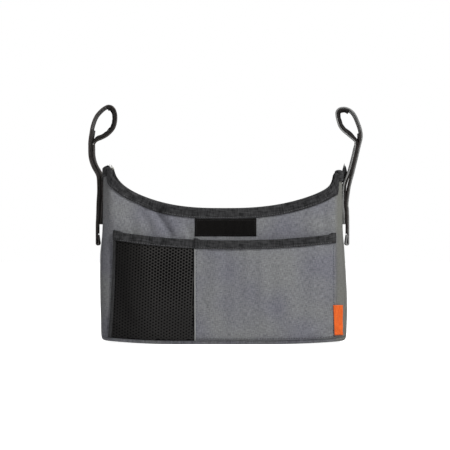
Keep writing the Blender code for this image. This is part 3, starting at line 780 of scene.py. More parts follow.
def make_dividers():
    """Two padded walls across the inside, crowned between their seams, with a folded top edge."""
    bottom = FLOOR_TOP + CLEARANCE
    for side, hand in (("left", -1), ("right", 1)):
        half = DIVIDER_THICKNESS / 2
        rows = shares(24)
        turns = [math.pi * share for share in shares(8)[1:-1]]
        loop = [(share, 1.0, 0.0) for share in rows]
        loop += [(1.0, math.cos(turn), math.sin(turn)) for turn in turns]
        loop += [(share, -1.0, 0.0) for share in reversed(rows)]
        across = divided(-1, 1, 0.05)

        def place(span, index, hand=hand, loop=loop):
            share, out, over = loop[round(index)]
            z = between(bottom, DIVIDER_HEIGHT - half, share) + half * over
            wall = wall_point(hand * DIVIDER_PLACE, z, WALL_DEPTH + CLEARANCE)
            crown = 0.55 + 0.45 * (1 - span**6) * min(1.0, (1 - share) * 12 + 0.4)
            return Vector((wall.x + half * out * crown, -wall.y * span, z))

        mesh = grid_mesh(
            f"{side}_divider_pad", across, list(range(len(loop))), place,
            lambda span, index: (span * HALF_DEPTH, 0.005 * index),
        )
        form = bmesh.new()
        form.from_mesh(mesh)
        ends = [edge for edge in form.edges if edge.is_boundary]
        bmesh.ops.holes_fill(form, edges=ends, sides=0)
        bmesh.ops.recalc_face_normals(form, faces=form.faces)
        bmesh.ops.triangulate(form, faces=[face for face in form.faces if len(face.verts) > 4])
        form.to_mesh(mesh)
        form.free()
        piece = link_piece(
            f"{side}_divider_pad", mesh, lining_cloth, node=f"{side}_divider", slot="grey_lining_cloth",
        )


def tape_section(width, crown):
    """Points across a folded tape: drop below the edge, share of the way through, and distance along."""
    legs = [1.0, 0.92, 0.86, 0.80, 0.66, 0.5, 0.34, 0.18, 0.06]
    section = [(width * leg, 0.0) for leg in legs]
    for step in range(9):
        turn = math.pi * step / 8
        section.append((-crown * math.sin(turn), (1 - math.cos(turn)) / 2))
    section += [(width * leg, 1.0) for leg in reversed(legs)]
    return section


def bound_edge(
    name, start, end, top_of, depth_of, wall, width, crown, node, tab=None, narrowing=None, where=in_place
):
    """Tape folded over an edge of the wall: down the outside, over the top, and down the inside.

    The tape lies square to its edge and turns to an upright cut at both ends. tab(around) lifts
    it where its end is folded under, and narrowing(around) is the share of its width that is sewn
    out of sight. where(around) gives the distance round the bag if it is counted from elsewhere.
    """
    fold = wall + 2 * TAPE_CLEARANCE
    section = tape_section(width, crown)
    runs = [0.0]
    for (drop0, inward0), (drop1, inward1) in zip(section, section[1:]):
        runs.append(runs[-1] + math.hypot(drop1 - drop0, (inward1 - inward0) * fold))
    turning = 2 * width

    def square(around):
        step = 1e-4
        slope = (top_of(around + step) - top_of(around - step)) / (2 * step)
        return Vector((slope, -1.0)).normalized()

    def direction_at(around):
        level = square(around)
        share = min(1.0, (around - start) / turning, (end - around) / turning)
        turned = Vector((0.0, -1.0)) * (1 - share) + level * share
        return turned / max(turned.dot(level), LEAST_CUT)

    def place(around, index):
        drop, inward = section[round(index)]
        if narrowing and drop > 0:
            drop *= 1 - narrowing(around)
        direction = direction_at(around)
        along = around + direction.x * drop
        lift = tab(around) if tab else 0.0
        z = top_of(around) + direction.y * drop + lift * (1 - max(0.0, drop) / width)
        rise = CLEARANCE if drop <= 0 else 0.0
        pull = STITCH_PULL * math.exp(-(((drop / width - STITCH_DROP) / STITCH_PULL_REACH) ** 2))
        ripple = unevenness(around * 150, drop * 160, wall * 900)
        pucker = TAPE_PUCKER * ripple * (0.4 + 0.6 * max(0.0, drop) / width) + lift * 0.25
        facing = 1 - 2 * inward
        depth = depth_of(along, z) - TAPE_CLEARANCE + fold * inward
        depth += facing * (pull - pucker)
        return wall_point(where(along), z + rise, depth)

    mesh = grid_mesh(
        name, divided(start, end, TAPE_STEP), list(range(len(section))), place,
        lambda around, index: (around, runs[round(index)]),
    )
    piece = link_piece(
        name, mesh, binding_tape, node=node, slot="black_binding_tape", thickness=TAPE, offset=1.0,
    )
    return piece


def front_narrowing(around):
    """The front's tape is sewn deeper towards the left corner."""
    return 0.26 * eased((-around - 0.080) / 0.035)


def make_rim_binding():
    """Four lengths of tape round the mouth, cut upright where its edge peaks at the corners."""
    end = FRONT_PEAK - RIM_END_GAP
    side_from, side_to = FRONT_PEAK + RIM_END_GAP, BACK_PEAK - RIM_END_GAP

    def face(around, z):
        return 0.0

    def rim(name, start, stop, top_of, node, **more):
        bound_edge(name, start, stop, top_of, face, WALL_DEPTH, RIM_TAPE_WIDTH, RIM_CROWN, node, **more)

    rim("front_rim_tape", -end, end, mouth_height, "front_rim_binding", narrowing=front_narrowing)
    rim("right_rim_tape", side_from, side_to, mouth_height, "right_rim_binding")
    rim("left_rim_tape", -side_to, -side_from, mouth_height, "left_rim_binding")
    rim(
        "back_rim_tape", -end, end, lambda offset: mouth_height(behind(offset)), "back_rim_binding",
        where=behind,
    )


def pocket_standoff(start, end, fullness, around, z):
    """How far a pocket's inner face stands off the front panel."""
    up = (z - POCKET_BOTTOM) / (pocket_height(around) - POCKET_BOTTOM)
    up = min(1.05, max(0.0, up))
    across = min(1.0, max(0.0, (around - start) / (end - start)))
    seam = CLEARANCE + (TAPE + CLEARANCE + TAPE_CLEARANCE) * min(1.0, up * STANDOFF_RAMP)
    return seam + fullness * math.sin(math.pi * across) * up**FULLNESS_POWER


GREY_START = POCKET_SPLIT + CLEARANCE / 2
GREY_END = FRONT_REACH + 0.002
HEM_FOLD = 0.0016
HEM_RISE = 0.0012
HEM_PLACE = 0.0014
HEM_SET_IN = 0.0002
HEM_TOP = 0.925
POCKET_DENT = 0.0007
DENT_MARGIN = 0.02
NET_START = -POCKET_EDGE
NET_END = POCKET_SPLIT - CLEARANCE / 2
BACKING_FACE = -CLEARANCE - BACKING_CLOTH


def grey_depth(around, z):
    """The depth of the grey pocket's outer face, with its own soft dents."""
    dent = POCKET_DENT * unevenness(around * 23, z * 19, 20.5)
    hem = HEM_RISE * math.exp(-(((around - GREY_START - HEM_PLACE) / HEM_RISE) ** 2))
    edge = min(DENT_MARGIN, around - GREY_START, GREY_END - around, z - POCKET_BOTTOM) / DENT_MARGIN
    standoff = pocket_standoff(GREY_START, GREY_END, POCKET_FULLNESS, around, z)
    return -standoff - POCKET_CLOTH + max(0.0, edge) * dent - hem


def net_depth(around, z):
    """The depth of the net's outer face."""
    return BACKING_FACE - pocket_standoff(NET_START, NET_END, NET_FULLNESS, around, z) - NET_CLOTH


def leaning(around, up):
    """The net pocket's outer edge leans towards the middle as it rises, and spreads at its foot."""
    spread = NET_LEAN * up - NET_FOOT * max(0.0, 1 - up / 0.6) ** 1.5
    return around + spread * (NET_END - around) / (NET_END - NET_START)


def tab_rise(distance, length, rise, steepness):
    """How far the end of a tape stands up where it is folded under, at a distance from its end."""
    return rise * min(1.0, steepness * max(0.0, 1 - distance / length))


def make_grey_pocket():
    """The grey cloth pocket, its turned hem, and the tape on its top edge with a tab at each end."""
    height = pocket_height(GREY_START) - POCKET_BOTTOM
    across = divided(GREY_START, GREY_END, POCKET_STEP)
    up = shares(math.ceil(height / POCKET_STEP))
    mesh = sheet_mesh("grey_pocket_cloth", across, up, pocket_z, grey_depth)
    piece = link_piece(
        "grey_pocket_cloth", mesh, shell_cloth, node="grey_pocket", slot="grey_woven_polyester",
        thickness=POCKET_CLOTH,
    )

    def hem_place(across, share):
        around = GREY_START + HEM_SET_IN + HEM_FOLD * across
        z = pocket_z(around, share * HEM_TOP)
        round_over = 0.0005 * math.sqrt(max(0.0, 1 - (2 * across - 1) ** 2))
        return wall_point(around, z, grey_depth(around, z) - HEM_SET_IN - round_over)

    mesh = grid_mesh(
        "grey_pocket_hem", shares(6), shares(50), hem_place,
        lambda across, share: (across * HEM_FOLD, share * height),
    )
    link_piece("grey_pocket_hem", mesh, hem_cloth, slot="grey_woven_polyester", thickness=0.0005)

    def tab(around):
        left = tab_rise(around - GREY_START, 0.008, 0.0018, 2.5)
        return left + tab_rise(GREY_END - around, 0.010, 0.0018, 2.5)

    bound_edge(
        "grey_pocket_tape", GREY_START, GREY_END, pocket_height, grey_depth, POCKET_CLOTH,
        POCKET_TAPE_WIDTH, POCKET_CROWN, "grey_pocket_binding", tab=tab,
    )


def geometry_tree(name):
    """An empty Geometry Nodes tree, and the socket by which its mesh comes in."""
    tree = bpy.data.node_groups.new(name, "GeometryNodeTree")
    for direction in ("INPUT", "OUTPUT"):
        tree.interface.new_socket("Mesh", in_out=direction, socket_type="NodeSocketGeometry")
    return tree, add(tree, "NodeGroupInput").outputs[0]


def net_tree(columns, rows, centre):
    """Hexagon cells of net in staggered rows, opened more towards one place, laid on a mapped sheet."""
    tree, sheet = geometry_tree("knitted net")
    grid = add(
        tree, "GeometryNodeMeshGrid",
        {"Size X": (columns - 1) * CELL_WIDTH, "Size Y": (rows - 1) * ROW_PITCH,
         "Vertices X": columns, "Vertices Y": rows},
    )
    place = add(tree, "GeometryNodeInputPosition")
    split = add(tree, "ShaderNodeSeparateXYZ", links={0: place.outputs[0]})
    counted = add(
        tree, "ShaderNodeMath", {1: 1 / ROW_PITCH, 2: (rows - 1) / 2}, {0: split.outputs[1]},
        operation="MULTIPLY_ADD",
    )
    row = add(tree, "ShaderNodeMath", links={0: counted.outputs[0]}, operation="ROUND")
    odd = add(tree, "ShaderNodeMath", {1: 2.0}, {0: row.outputs[0]}, operation="MODULO")
    half_cell = add(tree, "ShaderNodeMath", {1: CELL_WIDTH / 2}, {0: odd.outputs[0]}, operation="MULTIPLY")
    shift = add(tree, "ShaderNodeCombineXYZ", links={0: half_cell.outputs[0]})
    staggered = add(
        tree, "GeometryNodeSetPosition", links={"Geometry": grid.outputs[0], "Offset": shift.outputs[0]},
    )
    cell = add(tree, "GeometryNodeMeshCircle", {"Vertices": 6, "Radius": 1.0}, fill_type="NGON")
    upright = add(
        tree, "GeometryNodeTransform", {"Rotation": (0, 0, math.radians(30))}, {"Geometry": cell.outputs[0]},
    )
    cells = add(
        tree, "GeometryNodeInstanceOnPoints", {"Scale": (CELL_WIDTH / math.sqrt(3), ROW_PITCH / 1.5, 1.0)},
        {"Points": staggered.outputs[0], "Instance": upright.outputs[0]},
    )
    real = add(tree, "GeometryNodeRealizeInstances", links={0: cells.outputs[0]})
    turned = add(
        tree, "GeometryNodeTransform", {"Translation": centre, "Rotation": (0, 0, NET_BIAS)},
        {"Geometry": real.outputs[0]},
    )
    raised = add(
        tree, "GeometryNodeExtrudeMesh", {"Offset Scale": 0.0, "Individual": True},
        {"Mesh": turned.outputs[0]}, mode="FACES",
    )
    away = add(tree, "ShaderNodeVectorMath", {1: OPEN_PLACE}, {0: place.outputs[0]}, operation="DISTANCE")
    openness = add(
        tree, "ShaderNodeMapRange", {1: 0.0, 2: OPEN_REACH, 3: MOST_OPEN, 4: LEAST_OPEN},
        {0: away.outputs["Value"]}, interpolation_type="SMOOTHSTEP",
    )
    shrunk = add(
        tree, "GeometryNodeScaleElements",
        links={"Geometry": raised.outputs["Mesh"], "Selection": raised.outputs["Top"],
               "Scale": openness.outputs[0]},
        domain="FACE",
    )
    holed = add(
        tree, "GeometryNodeDeleteGeometry",
        links={"Geometry": shrunk.outputs[0], "Selection": raised.outputs["Top"]}, domain="FACE",
    )
    whole = add(tree, "GeometryNodeMergeByDistance", {"Distance": 0.00002}, {"Geometry": holed.outputs[0]})
    mapped = add(tree, "GeometryNodeInputNamedAttribute", {"Name": "cloth"}, data_type="FLOAT_VECTOR")
    sampled = add(
        tree, "GeometryNodeSampleUVSurface",
        links={"Mesh": sheet, "Value": place.outputs[0], "Source UV Map": mapped.outputs[0],
               "Sample UV": place.outputs[0]},
        data_type="FLOAT_VECTOR",
    )
    missing = add(tree, "FunctionNodeBooleanMath", links={0: sampled.outputs["Is Valid"]}, operation="NOT")
    trimmed = add(
        tree, "GeometryNodeDeleteGeometry",
        links={"Geometry": whole.outputs[0], "Selection": missing.outputs[0]}, domain="POINT",
    )
    laid = add(
        tree, "GeometryNodeSetPosition",
        links={"Geometry": trimmed.outputs[0], "Position": sampled.outputs[0]},
    )
    add(tree, "NodeGroupOutput", links={0: laid.outputs[0]})
    return tree


def run_nodes(mesh, tree):
    """The plain mesh that a Geometry Nodes tree makes from a mesh."""
    holder = bpy.data.objects.new("holder", mesh)
    bpy.context.scene.collection.objects.link(holder)
    holder.modifiers.new("nodes", "NODES").node_group = tree
    graph = bpy.context.evaluated_depsgraph_get()
    made = bpy.data.meshes.new_from_object(holder.evaluated_get(graph), depsgraph=graph)
    bpy.data.objects.remove(holder)
    return made


CELL_WIDTH = 0.0043
ROW_PITCH = 0.0037
NET_YARN = 0.0007
NET_BIAS = math.radians(-33)
# The net is most open round one place, a share of each cell, and least from OPEN_REACH away
OPEN_PLACE = (-0.068, 0.100, 0.0)
OPEN_REACH = 0.070
MOST_OPEN = 0.72
LEAST_OPEN = 0.46


def make_net_pocket():
    """The net over its black backing, the tape on its top edge, and the piping down its outer edge."""

    def laid(name, step, depth_of):
        def measure(across, share):
            around = leaning(across, share)
            return around, pocket_z(around, share)

        def place(across, share):
            around, z = measure(across, share)
            return wall_point(around, z, depth_of(around, z))

        count = math.ceil((pocket_height(NET_START) - POCKET_BOTTOM) / step)
        return grid_mesh(name, divided(NET_START, NET_END, step), shares(count), place, measure)

    width = NET_END - NET_START
    height = POCKET_DIP_HEIGHT - POCKET_BOTTOM
    mesh = laid("net_backing_cloth", 0.003, lambda around, z: BACKING_FACE)
    backing = link_piece(
        "net_backing_cloth", mesh, backing_cloth, node="net_pocket_backing", slot="black_backing_cloth",
        thickness=BACKING_CLOTH,
    )

    guide = laid("net_guide", 0.004, net_depth)
    centre = ((NET_START + NET_END) / 2, POCKET_BOTTOM + height / 2, 0.0)
    reach = width + height
    mesh = run_nodes(guide, net_tree(math.ceil(reach / CELL_WIDTH), math.ceil(reach / ROW_PITCH), centre))
    piece = link_piece(
        "net_pocket_net", mesh, net_yarn, node="net_pocket", slot="black_polyester_net", thickness=NET_YARN,
    )
    bound_edge(
        "net_pocket_tape", leaning(NET_START, 1.0), NET_END, pocket_height, net_depth, NET_CLOTH,
        POCKET_TAPE_WIDTH, POCKET_CROWN, "net_pocket_binding",
        tab=lambda around: tab_rise(around - NET_START - NET_LEAN, 0.013, 0.0016, 3),
    )

    def trim_place(side, share):
        around = leaning(NET_START + TRIM_WIDTH * (side + 0.5), share)
        z = between(POCKET_BOTTOM, pocket_height(around) - POCKET_TAPE_WIDTH - 2 * CLEARANCE, share)
        crown = TRIM_THICKNESS * (0.35 + 0.65 * math.sqrt(max(0.0, 1 - (2 * side) ** 2)))
        return wall_point(around, z, net_depth(around, z) - CLEARANCE - crown)

    mesh = grid_mesh(
        "net_pocket_piping", divided(-0.5, 0.5, 0.125), shares(60), trim_place,
        lambda side, share: (side * TRIM_WIDTH, share * height),
    )
    link_piece(
        "net_pocket_piping", mesh, highlit_piping_tape, node="net_pocket_trim", slot="black_binding_tape",
        thickness=0.0006,
    )


def make_patch():
    """The loop patch sewn on the front under the binding, its pile lower at the edges."""
    start = PATCH_PLACE - PATCH_WIDTH / 2

    def z_at(around, share):
        return between(PATCH_BOTTOM, mouth_height(around) - RIM_TAPE_WIDTH - 2 * CLEARANCE, share)

    def pile_depth(around, z):
        from_edge = min(around - start, start + PATCH_WIDTH - around, z - PATCH_BOTTOM, z_at(around, 1) - z)
        pile = 0.45 + 0.55 * min(1.0, from_edge / 0.0028)
        return -CLEARANCE - PATCH_THICKNESS * pile - 0.00018 * unevenness(around * 900, z * 900, 1.0)

    across = divided(start, start + PATCH_WIDTH, 0.0008)
    mesh = sheet_mesh("front_loop_patch", across, shares(32), z_at, pile_depth)
    link_piece(
        "front_loop_patch", mesh, loop_pile, node="front_patch", slot="black_loop_pile", thickness=0.0006,
    )


def smooth_line(points, steps):
    """A Catmull-Rom curve through the points."""
    padded = [2 * points[0] - points[1], *points, 2 * points[-1] - points[-2]]
    line = []
    for before, start, end, after in zip(padded, padded[1:], padded[2:], padded[3:]):
        for step in range(steps):
            t = step / steps
            line.append(
                0.5 * (2 * start + (end - before) * t
                       + (2 * before - 5 * start + 4 * end - after) * t * t
                       + (3 * start - before - 3 * end + after) * t**3)
            )
    return [*line, points[-1]]


def moved_across(line, distance):
    """The line moved to its left by a distance, in the XZ plane seen from the front."""
    moved = []
    for index, point in enumerate(line):
        ahead = line[min(index + 1, len(line) - 1)]
        behind = line[max(index - 1, 0)]
        along = (ahead - behind).normalized()
        moved.append(point + Vector((-along.z, 0.0, along.x)) * distance)
    return moved


def run_of(line):
    """The distance along a line at each of its points."""
    runs = [0.0]
    for before, after in zip(line, line[1:]):
        runs.append(runs[-1] + (after - before).length)
    return runs


def strap_turn(out, z):
    """How far a strap's open loop is turned out of square: its move outwards for each metre of Y."""
    free = eased((z - LOOP_HEIGHT) / 0.02)
    return free * (0.13 - 0.05 * (0.75 * out.x + 0.65 * out.z))


def make_ribbon(name, line, width, thickness, material, node, slot, hand, wander=0.0, edge=0.0, fuzz=0.0):
    """A flat ribbon whose left face runs along a line in the XZ plane, its width along Y.

    wander lets it drift sideways as soft webbing does, edge rounds its two edges down, and fuzz
    makes its pile uneven. All layers of a strap's loop turn a little out of square together.
    """
    runs = run_of(line)
    across = [-0.5, -0.48, -0.44, -0.3, -0.15, 0.0, 0.15, 0.3, 0.44, 0.48, 0.5]
    sides = moved_across(line, 1.0)

    def place(side, index):
        index = round(index)
        out = (sides[index] - line[index]).normalized()
        drift = wander * unevenness(runs[index] * 22, hand * 5.0, 0.3)
        cup = edge * (abs(2 * side) ** 6)
        pile = fuzz * (0.5 + unevenness(runs[index] * 170, side * 7, hand * 3.0))
        point = line[index] - out * (cup + pile) + Vector((0.0, width * side + drift, 0.0))
        point -= out * strap_turn(out, point.z) * point.y
        return Vector((point.x * hand, point.y, point.z))

    mesh = grid_mesh(
        name, across, list(range(len(line))), place, lambda side, index: (side * width, runs[round(index)]),
    )
    if hand > 0:
        mesh.flip_normals()
    link_piece(name, mesh, material, node=node, slot=slot, thickness=thickness)


def make_strap(side, hand, webbing, sewn_length, closure, loop, parting):
    """A webbing strap sewn to the side, looped round and closed on itself with hook and loop.

    parting is where its two layers stand apart: the height, the reach either way, and how far.
    """
    part_height, part_reach, part_width = parting
    layer = WEBBING + CLEARANCE + GRIP_TAPE
    half_stack = layer + CLEARANCE / 2

    def sewn_place(z):
        wall = wall_point(QUARTER_ROUND * hand, z, 0.0)
        return Vector((wall.x * hand + CLEARANCE + half_stack + 0.0004, 0.0, z))

    mouth_side = wall_point(QUARTER_ROUND * hand, mouth_height(QUARTER_ROUND * hand), 0.0).x * hand
    free = [Vector((mouth_side + out, 0.0, STRAP_ROOT_HEIGHT + up)) for out, up in closure]
    sewn = [sewn_place(STRAP_ROOT_HEIGHT + sewn_length * share) for share in shares(3)]
    meeting = smooth_line(sewn + free, 8)
    climbing = [
        point - Vector((part_width * math.exp(-(((point.z - part_height) / part_reach) ** 2)), 0.0, 0.0))
        for point in moved_across(meeting, half_stack)
    ]
    tail_end = sewn[0] - Vector((0.0, 0.0, TAIL_DROP))
    lower = [tail_end + (sewn[0] - tail_end) * share for share in shares(8)[:-1]]
    hanging = moved_across([*lower, *meeting], -half_stack)[::-1]
    turn = [Vector((mouth_side + out, 0.0, STRAP_ROOT_HEIGHT + up)) for out, up in loop]
    joined = smooth_line([climbing[-8], climbing[-1], *turn, hanging[0], hanging[8]], 8)[8:-8]
    face = climbing[:-1] + joined + hanging[1:]
    low = face[-1]
    inward = Vector((-1.0, 0.0, 0.0))
    down = Vector((0.0, 0.0, -1.0))
    back = inward * -2 * (HEM_BULB - WEBBING - CLEARANCE / 2)
    hem_turn = [
        low + inward * HEM_BULB * (1 - math.cos(angle)) + down * HEM_BULB * math.sin(angle)
        for angle in (math.pi * share for share in shares(12)[1:])
    ]
    hem = hem_turn + [hem_turn[-1] - down * HEM_LENGTH * share + back * share for share in shares(4)[1:]]
    tape_line = moved_across(face, -(WEBBING + CLEARANCE))
    loop_end = len(climbing) + round(len(joined) * LOOP_TAPE_END)
    hook_start = len(climbing) + round(len(joined) * HOOK_TAPE_START)
    tail_line = [point for point in tape_line[hook_start:] if point.z > low.z + HEM_LENGTH]
    make_ribbon(f"{side}_strap_webbing", face + hem, STRAP_WIDTH, WEBBING, webbing,
                f"{side}_strap", "black_webbing", hand, wander=0.0012, edge=0.0002)
    make_ribbon(f"{side}_strap_loops", tape_line[:loop_end], STRAP_WIDTH - 0.001, GRIP_TAPE, strap_pile,
                f"{side}_strap_loop_tape", "black_loop_pile", hand, wander=0.0012, fuzz=0.0009)
    make_ribbon(f"{side}_strap_hooks", tail_line, STRAP_WIDTH - 0.001, GRIP_TAPE, hook_tape,
                f"{side}_strap_hook_tape", "black_hook_tape", hand, wander=0.0012)


# Loose ends of tape and yarn: rings up their length, sides, the radius left at the tip, and their bend
TIP_LEVELS = 6
TIP_SIDES = 8
TIP_END = 0.0001
TIP_BEND = 0.0006


def make_tape_ends():
    """The cut ends of the tape that stand out of two corners: frayed yarn, and two folded tips."""
    for name, material, tips in (
        ("frayed_tape_yarn", frayed, (
            ((-0.1585, 0.047, 0.2385), (-0.1600, 0.047, 0.2435), 0.0005),
            ((-0.1570, 0.047, 0.2385), (-0.1575, 0.046, 0.2445), 0.0004),
            ((-0.1556, 0.048, 0.2375), (-0.1548, 0.047, 0.2440), 0.0005),
            ((-0.1542, 0.048, 0.2370), (-0.1528, 0.048, 0.2425), 0.0004),
            ((-0.1530, 0.049, 0.2365), (-0.1508, 0.049, 0.2405), 0.0005),
        )),
        ("folded_tape_tips", binding_tape, (
            ((0.1640, -0.006, 0.2180), (0.1655, -0.006, 0.2440), 0.0019),
            ((0.1672, 0.006, 0.2220), (0.1688, 0.006, 0.2415), 0.0022),
        )),
    ):
        points, faces = [], []
        for base, tip, radius in tips:
            base, tip = Vector(base), Vector(tip)
            first = len(points)
            for share in shares(TIP_LEVELS):
                reach = radius * (1 - share**4) + TIP_END
                bend = Vector((TIP_BEND * math.sin(share * 5 + base.x * 900), 0.0, 0.0))
                for turn in (math.tau * step / TIP_SIDES for step in range(TIP_SIDES)):
                    out = Vector((reach * math.cos(turn), reach * math.sin(turn), 0.0))
                    points.append(base.lerp(tip, share) + bend + out)
            for low in range(first, first + TIP_LEVELS * TIP_SIDES, TIP_SIDES):
                high = low + TIP_SIDES
                for step in range(TIP_SIDES):
                    after = (step + 1) % TIP_SIDES
                    faces.append((low + step, low + after, high + after, high + step))
            faces.append(tuple(range(first, first + TIP_SIDES))[::-1])
            faces.append(tuple(range(len(points) - TIP_SIDES, len(points))))
        mesh = bpy.data.meshes.new(name)
        mesh.from_pydata(points, [], faces)
        layer = mesh.uv_layers.new(name="cloth")
        for loop in mesh.loops:
            point = points[loop.vertex_index]
            layer.data[loop.index].uv = (point.x, point.z)
        link_piece(name, mesh, material, slot="black_binding_tape")


def make_tag():
    """The bare folded ribbon sewn over the right pocket seam, curling a little off the corner."""
    layer = TAG_RIBBON + CLEARANCE
    start = FRONT_REACH - TAG_OVER_SEAM
    reach = [start + TAG_LENGTH * share for share in shares(14)]
    over_seam = POCKET_CLOTH + 3 * CLEARANCE

    def lifted(around, z):
        out = (around - start) / TAG_LENGTH
        curl = TAG_CURL * max(0.0, out) * (2 * (z - TAG_BOTTOM) / TAG_HEIGHT - 1) ** 2
        step = over_seam * (1 - eased((around - GREY_END) / 0.004))
        return curl + step + 0.0003 * unevenness(around * 300, z * 120, 4.0)

    outer = [(around, -2 * layer) for around in reach]
    tip = [(start + TAG_LENGTH + layer * 0.8, -1.5 * layer)]
    inner = [(around, -CLEARANCE) for around in reversed(reach)]
    path = outer + tip + inner

    def place(index, share):
        around, depth = path[round(index)]
        out = (around - start) / TAG_LENGTH
        z = TAG_BOTTOM + TAG_HEIGHT * share - TAG_SKEW * out
        around += TAG_TAPER * (1 - share) * max(0.0, 1 - out)
        return wall_point(around, z, depth - max(0.0, lifted(around, z)))

    mesh = grid_mesh(
        "side_ribbon_tag", list(range(len(path))), shares(20), place,
        lambda index, share: (0.001 * index, share * TAG_HEIGHT),
    )
    link_piece(
        "side_ribbon_tag", mesh, label_ribbon, node="side_tag", slot="orange_ribbon", thickness=TAG_RIBBON,
    )


# Sewing: a stitch and its gap as a share of the stitch, and how proud it stands as a share of its width
STITCH_PITCH = 1.35
STITCH_PROUD = 0.15


def stitch_tree(length, width):
    """A thread stitch at each point, lying along its 'along' direction on the side it faces."""
    tree, places = geometry_tree("sewn stitches")
    along = add(tree, "GeometryNodeInputNamedAttribute", {"Name": "along"}, data_type="FLOAT_VECTOR")
    facing = add(tree, "GeometryNodeInputNamedAttribute", {"Name": "facing"}, data_type="FLOAT_VECTOR")
    lengthwise = add(tree, "FunctionNodeAlignRotationToVector", links={"Vector": along.outputs[0]}, axis="X")
    flat = add(
        tree, "FunctionNodeAlignRotationToVector",
        links={"Rotation": lengthwise.outputs[0], "Vector": facing.outputs[0]}, axis="Z", pivot_axis="X",
    )
    thread = add(tree, "GeometryNodeMeshUVSphere", {"Segments": 6, "Rings": 5, "Radius": 0.5})
    lying = add(
        tree, "GeometryNodeTransform", {"Rotation": (0, math.radians(90), 0)},
        {"Geometry": thread.outputs[0]},
    )
    laid = add(
        tree, "GeometryNodeInstanceOnPoints", {"Scale": (length, width, width)},
        {"Points": places, "Instance": lying.outputs[0], "Rotation": flat.outputs[0]},
    )
    real = add(tree, "GeometryNodeRealizeInstances", links={0: laid.outputs[0]})
    add(tree, "NodeGroupOutput", links={0: real.outputs[0]})
    return tree


def sew(name, rows, length, width, thread, slot):
    """One piece of thread for rows of stitches.

    A row is a function of 0 to 1 that gives a point and its outward direction, and the row's length.
    """
    places, alongs, facings = [], [], []
    for row, run in rows:
        count = max(2, round(run / (length * STITCH_PITCH)))
        for index in range(count):
            share = (index + 0.5) / count
            here, out = row(share)
            ahead, _ = row(min(1.0, share + 0.002))
            before, _ = row(max(0.0, share - 0.002))
            places.append(here + out * width * STITCH_PROUD)
            alongs.append((ahead - before).normalized())
            facings.append(out)
    mesh = bpy.data.meshes.new("stitch_places")
    mesh.from_pydata(places, [], [])
    for label, values in (("along", alongs), ("facing", facings)):
        layer = mesh.attributes.new(label, "FLOAT_VECTOR", "POINT")
        for index, value in enumerate(values):
            layer.data[index].vector = value
    return link_piece(name, run_nodes(mesh, stitch_tree(length, width)), thread, slot=slot)


def wall_row(start, end, z_of, depth_of):
    """A row of stitches round the bag from start to end, at a height and a depth."""

    def row(share):
        around = between(start, end, share)
        z = z_of(around)
        return wall_point(around, z, depth_of(around, z)), outward(around, z)

    return row, abs(end - start)


def upright_row(around, bottom, top, depth_of):
    """A row of stitches up the wall."""

    def row(share):
        z = between(bottom, top, share)
        return wall_point(around, z, depth_of(around, z)), outward(around, z)

    return row, top - bottom


def make_sewing():
    """Thread along the tapes, the seams, the patch and the pockets."""
    pulled = TAPE_CLEARANCE + TAPE - STITCH_PULL
    rim_row = STITCH_DROP * RIM_TAPE_WIDTH
    pocket_row = STITCH_DROP * POCKET_TAPE_WIDTH
    from_corner = 0.004

    def under_pocket_edge(around):
        return pocket_height(around) - pocket_row

    on_tape = [wall_row(
        -FRONT_REACH, FRONT_REACH, lambda a: mouth_height(a) - rim_row * (1 - front_narrowing(a)),
        lambda a, z: -pulled,
    )]
    for start, end in (
        (FRONT_PEAK + from_corner, BACK_PEAK - from_corner),
        (-BACK_PEAK + from_corner, -FRONT_PEAK - from_corner),
        (-HALF_ROUND, -HALF_ROUND + FRONT_REACH), (HALF_ROUND - FRONT_REACH, HALF_ROUND),
    ):
        on_tape.append(wall_row(start, end, lambda a: mouth_height(a) - rim_row, lambda a, z: -pulled))
    for start, end, depth_of in ((GREY_START, GREY_END, grey_depth), (NET_START, NET_END, net_depth)):
        on_tape.append(wall_row(
            start + 0.002, end - 0.002, under_pocket_edge,
            lambda a, z, depth_of=depth_of: depth_of(a, z) - pulled,
        ))
    sew("tape_stitches", on_tape, 0.0024, 0.0006, tape_thread, "black_binding_tape")
    foot = POCKET_BOTTOM + 0.002
    on_cloth = [
        upright_row(GREY_END - 0.0030, foot, pocket_height(GREY_END) - 0.013, grey_depth),
        upright_row(GREY_START + 0.0035, foot, pocket_height(GREY_START) - 0.013, grey_depth),
        wall_row(GREY_START + 0.002, GREY_END, lambda a: POCKET_BOTTOM + 0.0022, grey_depth),
    ]
    sew("seam_stitches", on_cloth, 0.0026, 0.0008, cloth_thread, "grey_woven_polyester")
    margin = 0.0018
    left, right = (PATCH_PLACE + hand * (PATCH_WIDTH / 2 - margin) for hand in (-1, 1))
    low, high = PATCH_BOTTOM + margin, FRONT_DIP_HEIGHT - RIM_TAPE_WIDTH - 0.0022

    def on_patch(around, z):
        return -CLEARANCE - PATCH_THICKNESS * 0.78

    patch_rows = [wall_row(left, right, lambda a, z=z: z, on_patch) for z in (low, high)]
    patch_rows += [upright_row(side, low, high, on_patch) for side in (left, right)]
    sew("patch_stitches", patch_rows, 0.0022, 0.0006, patch_thread, "black_loop_pile")


# Stage


